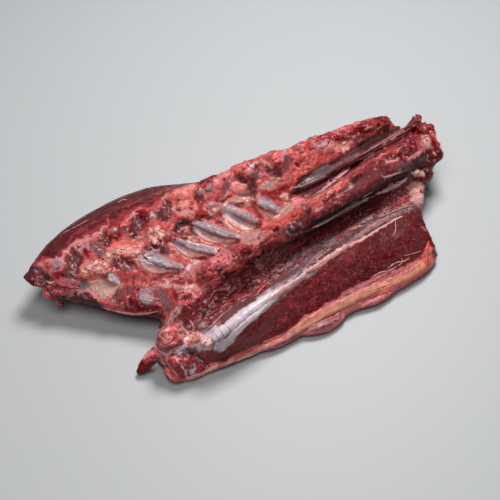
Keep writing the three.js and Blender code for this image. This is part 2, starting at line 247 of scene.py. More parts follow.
flesh_mesh = fine_flesh()
flesh_mesh.name = "flesh"
places, normals = arrays(flesh_mesh)
band, off_band = band_of(places)
even_skin = skin_of(flesh_mesh)
to_eye = np.array(EYE) - places
to_eye /= np.linalg.norm(to_eye, axis=1)[:, None]
facing = (normals * to_eye).sum(1)
open_view = np.zeros(len(places))
for i in np.nonzero(facing > 0)[0]:
    start = Vector(places[i] + normals[i] * CLEAR_OF_SKIN)
    if even_skin.ray_cast(start, Vector(to_eye[i]))[0] is None:
        open_view[i] = 1.0
open_view *= smooth_step(facing, 0.0, GRAZING)

# Tones of the flesh.
FAR = tone(86, 25, 29)
FIBRE = tone(136, 50, 54)
CORAL = tone(190, 76, 78)
SALMON = tone(216, 104, 96)
PINK = tone(204, 112, 114)
ROSE = tone(202, 138, 138)
PEACH = tone(216, 136, 122)
CREAM = tone(234, 178, 166)
WAX = tone(192, 146, 138)
BEIGE = tone(180, 122, 108)
RIB = tone(154, 132, 137)
BONE = tone(214, 192, 198)
SHEEN = tone(214, 199, 203)
LILAC = tone(156, 128, 138)
RED = tone(148, 40, 44)
CRIMSON = tone(150, 16, 30)
BLOOD = tone(104, 10, 18)
MAROON = tone(92, 32, 36)
DARK = tone(76, 26, 30)
BLACK = tone(52, 19, 21)
MAUVE = tone(118, 68, 72)
DULL = tone(100, 64, 66)
SLATE = tone(62, 46, 52)
FILM = tone(142, 108, 110)
GREY = tone(108, 84, 88)
SILVER = tone(186, 168, 180)
TAN = tone(184, 132, 124)
WET = tone(124, 40, 43)
LOIN = tone(102, 31, 34)
ROLL = tone(112, 36, 40)
AMBER = tone(238, 174, 134)
ORANGE = tone(196, 80, 68)

# Tones from line to line, where the marks below don't reach.
ACROSS = [
    (0.0, PINK), (0.3, PEACH), (0.8, SALMON), (1.0, LOIN), (1.9, LOIN), (2.1, SILVER), (2.9, SILVER),
    # DARK at 5.1 is painted shade on the steep wall under the chine's lip.
    (3.2, WET), (4.7, WET), (5.1, DARK), (5.8, CORAL), (6.6, CORAL), (7.2, FIBRE), (8.0, RED),
    (9.0, SALMON), (10.3, CORAL), (11.5, CORAL), (12.1, FIBRE), (12.4, FAR), (13.0, FAR),
]
stops = [stop for stop, _ in ACROSS]
tint = np.stack([np.interp(band, stops, [shown[k] for _, shown in ACROSS]) for k in range(3)], 1)


def mixed(layers):
    """Lumps of several sizes: the share, size in mm, seed and, where drawn out, stretch of each."""
    return sum(share * field(places, size * MM, *kind) for share, size, *kind in layers)


def blotches(layers, start, full):
    """Where blotches show, which begin at the value start and are whole at the value full."""
    return smooth_step(mixed(layers), start, full)


# The side that it lies on: dull muscle, with patches of membrane and of thin fat.
UNDER_EDGE = [(14.0, 30, 1.0)]
UNDER_FROM, UNDER_FULL = 10, 22
MEMBRANE = ([(1.0, 34, 2.0, (2.2, 1, 1))], 0.05, 0.3)
THIN_FAT = ([(1.0, 22, 3.0, (2.5, 1, 1))], 0.28, 0.42)
under = smooth_step(off_band + mixed(UNDER_EDGE), UNDER_FROM, UNDER_FULL)
under_tone = lay_over(FAR, blotches(*MEMBRANE), MAUVE)
under_tone = lay_over(under_tone, blotches(*THIN_FAT), TAN)
tint = lay_over(tint, under, under_tone)

# Marks as they are seen, in groups from the far edge to the near one: tone, half width (0 for a
# filled outline), rise in mm, raggedness from 0 to 1, and the outline or line that they follow.
FAR_MUSCLE = [
    (FAR, 0, 0.0, 0.1, [(38, 258), (44, 245), (56, 230), (78, 216), (97, 206), (123, 198), (147, 188),
        (170, 180), (195, 176), (216, 174), (216, 179), (198, 184), (186, 187), (175, 191), (162, 197),
        (150, 206), (136, 209), (128, 217), (118, 222), (104, 226), (94, 236), (80, 239), (70, 245),
        (62, 258)]),
    (FIBRE, 1.6, 0.4, 0.1, [(60, 254), (78, 239), (98, 228), (122, 215), (146, 204)]),
    (RED, 1.6, 0.3, 0.1, [(64, 250), (84, 237), (100, 232), (112, 223), (134, 210)]),
    (FIBRE, 1.2, 0.3, 0.1, [(70, 237), (92, 223), (118, 209), (150, 196), (176, 186)]),
    (RED, 1.0, 0.3, 0.1, [(120, 214), (140, 206), (160, 197), (178, 190)]),
    (FIBRE, 1.2, 0.3, 0.1, [(66, 243), (76, 234), (86, 230)]),
    (MAROON, 2.4, -0.3, 0.1, [(74, 226), (96, 214), (120, 204)]),
    (BLACK, 0.8, -0.9, 0.1, [(72, 229), (80, 226), (88, 223)]),
    (BLACK, 0.9, -0.9, 0.1, [(112, 213), (122, 209), (133, 206)]),
    (BLACK, 0.6, -0.7, 0.1, [(143, 199), (153, 196)]),
    (BLACK, 0.5, -0.7, 0.1, [(96, 220), (104, 217)]),
    (ROSE, 1.0, 0.5, 0.1, [(63, 258), (67, 251), (71, 245), (80, 240), (91, 238), (97, 234), (103, 228),
        (110, 225)]),
    (PINK, 1.2, 0.5, 0.1, [(128, 221), (134, 213), (140, 208), (146, 209)]),
    (ROSE, 1.0, 0.5, 0.1, [(160, 206), (165, 197), (169, 194), (173, 201)]),
]
SAWN_LEFT = [
    (CORAL, 0, 0.0, 0.7, [(30, 268), (50, 259), (64, 258), (72, 246), (95, 238), (106, 228), (128, 223),
        (138, 210), (160, 207), (167, 196), (186, 188), (200, 186), (205, 214), (196, 218), (176, 222),
        (160, 232), (150, 246), (130, 262), (112, 268), (84, 284), (66, 286), (48, 282)]),
    (PINK, 0, 0.6, 0.2, [(31, 268), (40, 263), (50, 259), (63, 257), (66, 262), (65, 270), (58, 277),
        (50, 276), (42, 271), (34, 270)]),
    (ROSE, 1.4, 0.4, 0.1, [(34, 269), (42, 266), (52, 261), (62, 259)]),
    (CORAL, 0, 0.4, 0.4, [(45, 263), (50, 263), (51, 269), (47, 271), (43, 267)]),
    (LILAC, 0, 0.4, 0.1, [(53, 262), (60, 261), (60, 266), (57, 271), (53, 271)]),
    (CRIMSON, 0, 0.5, 0.4, [(53, 273), (60, 272), (65, 267), (65, 275), (59, 280), (54, 277)]),
    (SLATE, 0, -0.8, 0.4, [(34, 270), (41, 269), (46, 273), (50, 277), (49, 284), (46, 288), (40, 283),
        (36, 276)]),
    (DARK, 2.0, 0.0, 0.3, [(26, 274), (31, 273)]),
    (MAROON, 0, -1.6, 0.5, [(65, 260), (70, 251), (74, 248), (79, 252), (82, 262), (79, 272), (76, 281),
        (66, 281), (61, 276), (66, 268)]),
    (ROSE, 0.5, 0.4, 0.2, [(72, 271), (76, 277)]),
    (ROSE, 0, 1.0, 0.2, [(76, 241), (84, 240), (90, 239), (91, 244), (90, 251), (84, 256), (77, 252),
        (73, 246)]),
    (PINK, 2.0, 0.6, 0.2, [(78, 244), (84, 243)]),
    (CRIMSON, 0, 0.8, 0.4, [(82, 249), (87, 248), (92, 251), (89, 256), (84, 255)]),
    (MAUVE, 0, -0.6, 0.4, [(90, 242), (97, 240), (104, 244), (107, 249), (104, 256), (98, 258), (94, 253),
        (91, 247)]),
    (MAROON, 0, -1.0, 0.5, [(97, 240), (103, 230), (109, 232), (112, 239), (108, 247), (104, 244),
        (99, 243)]),
    (CRIMSON, 0, 2.0, 0.3, [(107, 230), (110, 225), (117, 223), (124, 226), (123, 233), (118, 239),
        (111, 238), (107, 235)]),
    (ROSE, 0.8, 0.5, 0.1, [(109, 229), (112, 234), (117, 236)]),
    (LILAC, 0, 1.2, 0.1, [(113, 227), (118, 226), (119, 231), (116, 233), (113, 231)]),
    (SLATE, 0, -0.9, 0.2, [(123, 226), (127, 225), (130, 228), (128, 233), (124, 233)]),
    (MAROON, 0, -1.4, 0.6, [(129, 222), (135, 214), (142, 210), (148, 214), (149, 221), (143, 229),
        (138, 238), (131, 240), (129, 232)]),
    (CRIMSON, 0, 0.6, 0.4, [(137, 211), (144, 208), (150, 213), (148, 219), (142, 217)]),
    (CORAL, 0, 0.5, 0.6, [(146, 222), (154, 219), (156, 224), (148, 230), (142, 232)]),
    (ROSE, 1.4, 0.6, 0.1, [(151, 214), (154, 216)]),
    (SLATE, 0, 0.2, 0.1, [(154, 212), (160, 211), (161, 217), (156, 218)]),
    (MAROON, 0, -1.2, 0.5, [(160, 208), (165, 199), (169, 199), (173, 207), (172, 215), (167, 222),
        (162, 222), (159, 215)]),
    (SALMON, 0, 1.3, 0.6, [(168, 195), (176, 190), (186, 187), (194, 184), (197, 190), (193, 196),
        (197, 203), (203, 208), (203, 214), (196, 219), (186, 219), (178, 221), (174, 213), (173, 205)]),
    (PEACH, 2.2, 0.5, 0.3, [(176, 194), (186, 190), (193, 187)]),
    (RED, 0.9, -0.4, 0.3, [(172, 199), (180, 202), (188, 199)]),
    (RED, 0.8, -0.4, 0.3, [(175, 204), (184, 206), (192, 203)]),
    (ROSE, 3.0, 0.5, 0.2, [(176, 209), (182, 211), (190, 215)]),
    (BLACK, 0, -1.8, 0.1, [(189, 207), (193, 208), (195, 212), (191, 211)]),
    (MAROON, 0, 0.8, 0.2, [(196, 188), (199, 187), (203, 193), (203, 200), (199, 204), (194, 201),
        (193, 196)]),
    (MAUVE, 0, 1.2, 0.2, [(203, 185), (208, 183), (214, 187), (215, 192), (208, 194), (204, 191)]),
    (ROSE, 0.6, 0.5, 0.1, [(199, 189), (205, 197)]),
    (ROSE, 0.6, 0.5, 0.1, [(203, 190), (208, 196)]),
]
SAWN_RIGHT = [
    (CORAL, 0, 0.0, 0.8, [(203, 182), (222, 174), (246, 164), (258, 160), (268, 158), (282, 151),
        (300, 148), (316, 143), (330, 142), (340, 152), (322, 162), (300, 176), (280, 182), (262, 184),
        (242, 192), (222, 200), (206, 206)]),
    (RED, 0, -0.6, 0.9, [(198, 206), (208, 206), (216, 206), (224, 214), (216, 220), (204, 220),
        (196, 218)]),
    (BLOOD, 2.2, -0.8, 0.9, [(199, 218), (208, 215), (218, 218)]),
    (CORAL, 0, 0.5, 0.6, [(206, 192), (214, 193), (217, 198), (211, 201), (205, 198)]),
    (LILAC, 0, 1.3, 0.1, [(207, 202), (213, 201), (216, 205), (212, 209), (207, 207)]),
    (BLOOD, 2.0, -0.8, 0.8, [(217, 200), (224, 201), (230, 197)]),
    (PINK, 0, 0.6, 0.6, [(212, 179), (222, 173), (230, 169), (231, 177), (222, 185), (214, 187)]),
    (SALMON, 0, 0.8, 0.6, [(231, 170), (236, 165), (244, 163), (249, 164), (248, 172), (240, 175),
        (232, 176)]),
    (RED, 1.0, -0.3, 0.4, [(235, 172), (242, 171)]),
    (ROSE, 0, 1.2, 0.1, [(249, 163), (256, 160), (258, 164), (254, 172), (250, 176), (247, 171)]),
    (MAUVE, 0, -0.6, 0.2, [(226, 178), (230, 176), (233, 182), (230, 188), (226, 194), (220, 195),
        (224, 186)]),
    (DARK, 0, -1.0, 0.3, [(235, 174), (243, 176), (249, 179), (247, 186), (240, 183), (235, 178)]),
    (MAUVE, 0, -1.4, 0.3, [(251, 175), (256, 167), (258, 164), (263, 171), (260, 178), (254, 182)]),
    (MAROON, 0, -1.6, 0.4, [(249, 178), (257, 178), (257, 190), (256, 203), (251, 197), (248, 188)]),
    (SALMON, 0, 0.6, 0.5, [(231, 181), (238, 182), (245, 186), (244, 190), (236, 193), (230, 188)]),
    (ROSE, 1.2, 0.6, 0.2, [(233, 189), (240, 187), (246, 188)]),
    (ROSE, 1.0, 0.8, 0.2, [(261, 160), (267, 163), (272, 168)]),
    (DARK, 2.0, -0.8, 0.5, [(265, 166), (269, 171)]),
    (SALMON, 0, 0.8, 0.6, [(270, 158), (276, 153), (282, 151), (281, 158), (277, 164), (271, 163)]),
    (BLOOD, 0.9, -0.4, 0.3, [(272, 160), (275, 160)]),
    (ROSE, 0, 1.0, 0.1, [(281, 151), (286, 150), (287, 155), (283, 161), (280, 163)]),
    (MAUVE, 0, -0.8, 0.2, [(283, 164), (288, 154), (291, 159), (290, 167), (288, 173), (283, 173)]),
    (MAROON, 0, -1.2, 0.4, [(270, 169), (276, 166), (282, 168), (284, 176), (277, 179), (271, 176)]),
    (PINK, 1.2, 0.8, 0.2, [(266, 174), (271, 178), (280, 180), (291, 178)]),
    (PINK, 1.0, 0.8, 0.2, [(270, 183), (280, 184), (290, 182)]),
    (SALMON, 0, 0.8, 0.8, [(291, 156), (300, 150), (314, 147), (318, 156), (314, 166), (302, 173),
        (293, 175)]),
    (BLOOD, 1.6, -0.8, 0.6, [(301, 153), (304, 155)]),
    (BLOOD, 1.6, -0.8, 0.6, [(295, 164), (299, 166)]),
    (ROSE, 0, 0.7, 0.3, [(313, 143), (322, 141), (332, 142), (332, 150), (324, 152), (315, 149)]),
    (BONE, 1.6, 0.4, 0.1, [(318, 145), (326, 144)]),
    (PEACH, 0, 0.5, 0.4, [(330, 142), (345, 137), (351, 141), (349, 148), (342, 152), (334, 151)]),
    (CREAM, 0, 0.6, 0.2, [(340, 149), (346, 146), (349, 149), (344, 154)]),
    (RED, 0, 0.4, 0.8, [(313, 139), (322, 135), (345, 130), (365, 121), (384, 113), (390, 118),
        (390, 127), (380, 132), (366, 137), (350, 140), (330, 142)]),
    (PINK, 1.0, 0.5, 0.4, [(332, 133), (348, 127), (366, 119), (382, 114)]),
    (BLOOD, 0, -0.4, 0.8, [(352, 129), (362, 124), (371, 126), (366, 133), (356, 133)]),
    (ROSE, 1.4, 0.5, 0.3, [(346, 138), (356, 136)]),
    (PEACH, 1.6, 0.6, 0.4, [(366, 129), (375, 127)]),
    (ROSE, 1.4, 0.6, 0.3, [(379, 127), (386, 123)]),
    (BLOOD, 2.0, -0.3, 0.4, [(376, 119), (384, 118)]),
    (MAUVE, 0, -0.4, 0.2, [(353, 141), (360, 137), (369, 137), (366, 143), (356, 147)]),
]
CHEST_FAT = [
    (PEACH, 0, 0.9, 0.35, [(80, 268), (86, 260), (97, 261), (105, 261), (109, 266), (103, 273), (96, 278),
        (87, 278), (81, 274)]),
    (ORANGE, 2.6, 0.3, 0.3, [(90, 274), (97, 275)]),
    (BEIGE, 2.4, 0.4, 0.2, [(86, 270), (92, 267)]),
    (SALMON, 0, 0.4, 0.5, [(106, 250), (112, 243), (124, 239), (136, 240), (142, 246), (132, 248),
        (118, 247), (110, 254)]),
    (BEIGE, 0, 0.8, 0.25, [(104, 257), (110, 250), (118, 246), (128, 248), (138, 248), (144, 251),
        (139, 257), (130, 257), (122, 258), (116, 257), (108, 264), (103, 265)]),
    (ROSE, 2.0, 0.5, 0.2, [(118, 251), (128, 250), (136, 252)]),
    (PEACH, 1.6, 0.8, 0.3, [(118, 258), (126, 255), (134, 256)]),
    (MAROON, 0, -1.0, 0.9, [(113, 260), (120, 259), (128, 260), (134, 262), (134, 270), (124, 272),
        (114, 268)]),
    (ROSE, 1.0, 0.8, 0.5, [(124, 263), (130, 268)]),
    (PEACH, 0, 1.2, 0.5, [(149, 229), (157, 226), (164, 230), (166, 238), (163, 245), (156, 243),
        (150, 241), (146, 236)]),
    (CREAM, 2.2, 0.7, 0.4, [(153, 232), (156, 238), (162, 243)]),
    (GREY, 0, 0.1, 0.1, [(145, 233), (149, 233), (150, 240), (146, 240)]),
    (MAROON, 0, -1.0, 0.9, [(143, 248), (150, 244), (160, 245), (167, 246), (170, 254), (160, 256),
        (150, 252)]),
    (ROSE, 1.2, 0.8, 0.5, [(154, 250), (158, 252)]),
    (MAROON, 0, -0.6, 0.9, [(174, 224), (180, 220), (190, 221), (197, 228), (200, 236), (194, 242),
        (184, 240), (176, 236), (172, 230)]),
    (BLACK, 2.0, -1.4, 0.8, [(175, 232), (178, 226), (184, 224)]),
    (PEACH, 2.0, 1.0, 0.9, [(186, 230), (190, 237), (197, 239)]),
    (RED, 0, -0.4, 0.7, [(164, 238), (172, 232), (176, 238), (172, 245), (166, 244)]),
    (BEIGE, 0, 0.3, 0.2, [(210, 210), (222, 203), (232, 198), (243, 195), (253, 198), (254, 205),
        (246, 208), (234, 206), (224, 209), (214, 213)]),
    (MAUVE, 2.6, 0.4, 0.2, [(238, 194), (248, 194)]),
    (BLOOD, 0, -0.8, 0.9, [(229, 204), (236, 202), (245, 204), (244, 208), (234, 209)]),
    (CORAL, 0, 0.0, 0.6, [(244, 208), (254, 204), (260, 211), (266, 216), (262, 221), (252, 215)]),
    (RED, 0, -0.3, 0.8, [(211, 215), (220, 212), (226, 220), (232, 227), (224, 226), (214, 222)]),
    (ROSE, 0.6, 0.6, 0.3, [(216, 217), (224, 223)]),
    (TAN, 0, 0.4, 0.1, [(260, 186), (265, 180), (272, 179), (279, 184), (274, 189), (264, 189)]),
    (LILAC, 1.4, 0.3, 0.1, [(263, 186), (270, 186)]),
    (RED, 0, -0.4, 0.7, [(258, 190), (270, 190), (290, 186), (291, 194), (276, 200), (262, 198)]),
    (CREAM, 0, 0.9, 0.1, [(279, 197), (283, 193), (289, 194), (288, 199), (282, 200)]),
]
CHEST_END = [
    (WAX, 0, 0.4, 0.0, [(86, 282), (97, 281), (104, 280), (112, 282), (121, 283), (122, 286), (118, 291),
        (112, 296), (107, 302), (102, 300), (97, 293), (91, 288)]),
    (BEIGE, 2.6, 0.2, 0.1, [(88, 284), (98, 284)]),
    (GREY, 0, -0.5, 0.1, [(74, 284), (80, 280), (88, 281), (90, 288), (80, 290), (74, 288)]),
    (RED, 0, -0.2, 0.4, [(54, 282), (64, 284), (74, 288), (76, 294), (64, 294), (54, 290)]),
    (PINK, 1.6, 0.4, 0.2, [(56, 280), (66, 283), (78, 281)]),
    (MAUVE, 1.6, 0.2, 0.2, [(58, 285), (62, 288)]),
    # Painted shadow among the hanging rags under the wall's end.
    (DARK, 0, -0.6, 0.8, [(50, 288), (56, 294), (66, 296), (76, 294), (76, 304), (62, 306), (52, 298)]),
    (BLACK, 3.0, -1.0, 0.4, [(56, 298), (66, 300)]),
    # Painted shadow under the overhanging wall.
    (DARK, 0, -0.8, 0.7, [(74, 290), (86, 292), (95, 297), (102, 305), (106, 313), (90, 313), (70, 309)]),
    (ROSE, 1.2, 0.5, 0.2, [(79, 294), (86, 290), (93, 294), (99, 301)]),
    (CORAL, 0, 0.6, 0.3, [(101, 300), (107, 296), (114, 299), (116, 306), (108, 310), (103, 308)]),
    (BLOOD, 0, -0.2, 0.3, [(110, 298), (119, 290), (124, 285), (140, 286), (141, 300), (147, 308),
        (158, 306), (162, 308), (150, 312), (138, 315), (126, 313), (118, 306)]),
    (FIBRE, 1.0, 0.6, 0.1, [(125, 283), (124, 294), (128, 308)]),
    (FIBRE, 1.0, 0.6, 0.1, [(131, 284), (132, 296), (136, 310)]),
    (CORAL, 0.8, 0.6, 0.1, [(137, 282), (136, 294), (139, 304)]),
    (CORAL, 0, 0.0, 0.2, [(117, 272), (128, 271), (140, 272), (142, 284), (132, 287), (123, 284),
        (118, 278)]),
    (RIB, 0, 0.4, 0.05, [(139, 292), (143, 289), (150, 290), (154, 295), (155, 300), (150, 304),
        (145, 304), (141, 300)]),
    (FIBRE, 0, 0.4, 0.6, [(152, 288), (158, 290), (161, 299), (160, 304), (152, 307), (147, 305),
        (155, 299)]),
    (GREY, 0, 0.2, 0.05, [(157, 287), (164, 290), (168, 298), (171, 308), (170, 314), (165, 306),
        (160, 298)]),
    (MAUVE, 0.8, 0.0, 0.05, [(159, 289), (165, 300), (169, 311)]),
    (ROSE, 0, 0.4, 0.1, [(154, 282), (165, 283), (175, 284), (194, 285), (202, 288), (200, 292),
        (188, 291), (175, 289), (165, 288)]),
    (RED, 0, -0.4, 0.3, [(172, 280), (184, 279), (196, 280), (192, 284), (178, 284)]),
    (CORAL, 0, 0.4, 0.7, [(168, 290), (178, 290), (190, 292), (200, 291), (200, 298), (192, 304),
        (180, 306), (172, 304)]),
    (CRIMSON, 2.6, 0.2, 0.4, [(174, 293), (176, 296)]),
    (BLOOD, 2.4, -1.0, 0.6, [(182, 298), (190, 299)]),
    (ROSE, 1.6, 0.4, 0.3, [(190, 292), (196, 297)]),
    (TAN, 0, 0.3, 0.2, [(177, 304), (184, 305), (180, 313), (174, 320), (168, 328), (162, 329),
        (166, 321), (172, 313)]),
    (ROSE, 1.0, 0.4, 0.1, [(176, 308), (170, 316), (165, 326)]),
    (MAROON, 0, 0.4, 0.6, [(20, 276), (30, 266), (40, 266), (46, 272), (42, 280), (34, 286), (24, 284)]),
    (DARK, 2.0, 0.2, 0.6, [(24, 280), (30, 274), (36, 268)]),
    # Painted shadow under the wall's rim, dark and then dark red.
    (DARK, 3.0, -0.3, 0.4, [(64, 303), (78, 302), (92, 303), (102, 308)]),
    (BLOOD, 2.6, 0.0, 0.3, [(134, 316), (150, 316), (164, 317)]),
    (PINK, 0.9, 0.4, 0.1, [(102, 307), (116, 310), (130, 313), (146, 312)]),
]
BETWEEN_RIBS = [
    (RED, 0, 0.0, 0.35, [(132, 262), (140, 268), (152, 272), (166, 268), (186, 268), (190, 262),
        (206, 256), (206, 266), (196, 274), (180, 280), (160, 280), (146, 276), (136, 270)]),
    (CORAL, 2.4, -0.2, 0.2, [(150, 274), (162, 271), (178, 272)]),
    (RED, 0, 0.0, 0.35, [(170, 253), (182, 257), (194, 256), (204, 251), (214, 253), (206, 259),
        (190, 262), (180, 260)]),
    (CORAL, 2.0, 0.0, 0.3, [(172, 256), (180, 259), (190, 258)]),
    (CORAL, 0, -0.4, 0.5, [(196, 241), (212, 242), (228, 240), (236, 240), (230, 246), (216, 247),
        (204, 246)]),
    (SALMON, 0, -0.4, 0.2, [(224, 225), (232, 229), (242, 231), (250, 228), (256, 224), (258, 230),
        (248, 236), (240, 234), (230, 230)]),
    (PINK, 0, 0.3, 0.15, [(178, 268), (186, 266), (196, 260), (202, 264), (200, 276), (192, 279),
        (182, 277)]),
    (ROSE, 1.0, 0.5, 0.05, [(168, 282), (178, 277), (190, 272)]),
    (LILAC, 1.3, 0.2, 0.05, [(184, 274), (192, 268), (198, 264)]),
    (ROSE, 1.2, 0.2, 0.05, [(180, 270), (188, 268)]),
    (ROSE, 0.8, 0.5, 0.05, [(188, 270), (192, 277)]),
    (PINK, 1.6, 0.4, 0.1, [(196, 260), (204, 263), (206, 272)]),
    (PINK, 0, 0.5, 0.05, [(204, 254), (212, 250), (226, 247), (232, 252), (233, 262), (222, 268),
        (210, 264)]),
    (MAUVE, 1.6, -0.4, 0.1, [(226, 243), (232, 250), (236, 258)]),
    (TAN, 0, 0.5, 0.05, [(238, 238), (242, 232), (250, 228), (258, 229), (265, 232), (263, 241),
        (256, 246), (246, 245), (240, 243)]),
    (MAUVE, 0.6, -0.2, 0.05, [(250, 244), (257, 238), (262, 232)]),
    (ROSE, 0.7, 0.2, 0.05, [(243, 243), (252, 242), (258, 235)]),
    (SALMON, 0, 0.4, 0.1, [(262, 220), (274, 222), (288, 220), (292, 214), (284, 214), (276, 218)]),
    (TAN, 0, 0.4, 0.05, [(281, 213), (284, 204), (289, 202), (294, 206), (291, 213), (284, 216)]),
    (PINK, 0, 0.3, 0.1, [(290, 198), (304, 196), (306, 204), (298, 210), (294, 206)]),
]
RIB_MARKS = [
    (SLATE, 0, -0.8, 0.0, [(103, 277), (107, 272), (112, 271), (116, 275), (120, 281), (112, 281)]),
    (RIB, 0, 0.0, 0.0, [(108, 275), (114, 274), (120, 280), (119, 283), (112, 282)]),
    (CREAM, 0, 1.0, 0.0, [(134, 259), (143, 258), (155, 262), (168, 266), (162, 270), (155, 273),
        (148, 271), (140, 266)]),
    (RIB, 0, 0.0, 0.0, [(136, 256), (143, 251), (153, 252), (162, 256), (170, 260), (180, 263),
        (186, 268), (178, 270), (168, 269), (158, 267), (148, 263), (140, 261)]),
    (BONE, 1.6, 0.0, 0.0, [(164, 263), (172, 265), (182, 267)]),
    (MAUVE, 0.7, 0.0, 0.0, [(144, 255), (156, 258), (166, 263)]),
    (CREAM, 0, 1.0, 0.0, [(168, 243), (174, 242), (186, 246), (200, 250), (196, 256), (187, 259),
        (178, 253)]),
    (LILAC, 0, 0.0, 0.0, [(172, 237), (178, 238), (184, 241), (192, 244), (192, 250), (182, 248),
        (173, 244)]),
    (BONE, 0, 0.3, 0.0, [(184, 242), (194, 243), (204, 245), (216, 248), (218, 253), (208, 254),
        (198, 252), (188, 249)]),
    (CREAM, 0, 1.0, 0.0, [(194, 228), (206, 231), (222, 236), (234, 239), (228, 243), (214, 245),
        (202, 242)]),
    (RIB, 0, 0.0, 0.0, [(189, 222), (198, 219), (206, 221), (216, 225), (228, 230), (240, 234),
        (238, 240), (224, 240), (210, 237), (198, 231)]),
    (BONE, 1.4, 0.0, 0.0, [(218, 233), (228, 236), (238, 237)]),
    (SLATE, 1.2, -0.2, 0.0, [(192, 220), (202, 221)]),
    (CREAM, 0, 1.0, 0.0, [(222, 215), (236, 219), (248, 223), (257, 225), (248, 231), (236, 231),
        (226, 225)]),
    (RIB, 0, 0.0, 0.0, [(222, 207), (230, 205), (238, 209), (248, 214), (259, 220), (256, 226),
        (244, 225), (232, 221), (223, 215)]),
    (ROSE, 0.7, 0.1, 0.0, [(230, 206), (242, 210), (254, 216)]),
    (CREAM, 0, 1.0, 0.0, [(255, 203), (264, 207), (276, 212), (283, 212), (275, 219), (266, 219),
        (259, 211)]),
    (RIB, 0, 0.0, 0.0, [(257, 196), (264, 196), (272, 201), (281, 208), (279, 214), (268, 212),
        (259, 205)]),
]
CHINE_MARKS = [
    (CORAL, 0, 0.2, 0.8, [(196, 270), (210, 264), (222, 268), (236, 262), (238, 244), (250, 246),
        (264, 243), (270, 232), (290, 222), (304, 205), (322, 196), (345, 178), (350, 182), (344, 194),
        (324, 208), (310, 220), (300, 234), (284, 246), (262, 252), (246, 264), (232, 272), (220, 284),
        (208, 292), (200, 286)]),
    (FIBRE, 0, 0.0, 0.6, [(196, 274), (206, 268), (210, 280), (214, 292), (204, 296), (198, 286)]),
    (SALMON, 0, 0.4, 0.5, [(206, 268), (214, 266), (220, 276), (220, 286), (214, 284), (208, 276)]),
    (MAROON, 0, -0.8, 0.7, [(216, 270), (226, 268), (234, 272), (228, 282), (220, 280)]),
    (SALMON, 0, 0.6, 0.6, [(222, 262), (236, 262), (244, 266), (240, 272), (228, 270)]),
    (CRIMSON, 0, -0.2, 0.7, [(240, 246), (248, 246), (252, 252), (248, 260), (240, 256)]),
    (ROSE, 1.2, 0.8, 0.6, [(246, 256), (252, 260)]),
    (SALMON, 0, 0.5, 0.4, [(262, 222), (274, 222), (284, 226), (284, 232), (272, 232), (264, 229)]),
    (BLOOD, 0, -1.0, 0.7, [(265, 226), (272, 226), (279, 227), (276, 232), (268, 230)]),
    (SALMON, 0, 0.6, 0.05, [(264, 234), (272, 232), (284, 235), (284, 240), (272, 239), (265, 238)]),
    (RED, 0, 0.0, 0.8, [(262, 242), (276, 241), (288, 241), (286, 246), (270, 248), (258, 250)]),
    (MAUVE, 0, 1.2, 0.7, [(283, 232), (286, 225), (294, 221), (302, 222), (304, 230), (298, 238),
        (288, 239)]),
    (DARK, 2.4, -1.4, 0.5, [(291, 229), (298, 230)]),
    # Painted highlights on the knuckle.
    (BONE, 0.9, 0.6, 0.3, [(290, 224), (296, 222), (302, 225)]),
    (BONE, 0.7, 0.5, 0.3, [(286, 232), (292, 237)]),
    (ORANGE, 0, 0.8, 0.4, [(286, 218), (290, 212), (298, 209), (303, 212), (298, 218), (290, 221)]),
    (MAUVE, 0, 0.2, 0.2, [(301, 204), (308, 203), (313, 208), (310, 215), (303, 213)]),
    (SALMON, 0, 0.8, 0.5, [(302, 200), (318, 198), (332, 188), (346, 177), (350, 181), (338, 191),
        (322, 202), (310, 203)]),
    (PEACH, 1.4, 0.6, 0.4, [(316, 198), (328, 190), (342, 182)]),
    (RED, 0, 0.2, 0.4, [(312, 212), (326, 205), (338, 194), (348, 186), (352, 190), (340, 200),
        (324, 212), (314, 220)]),
]
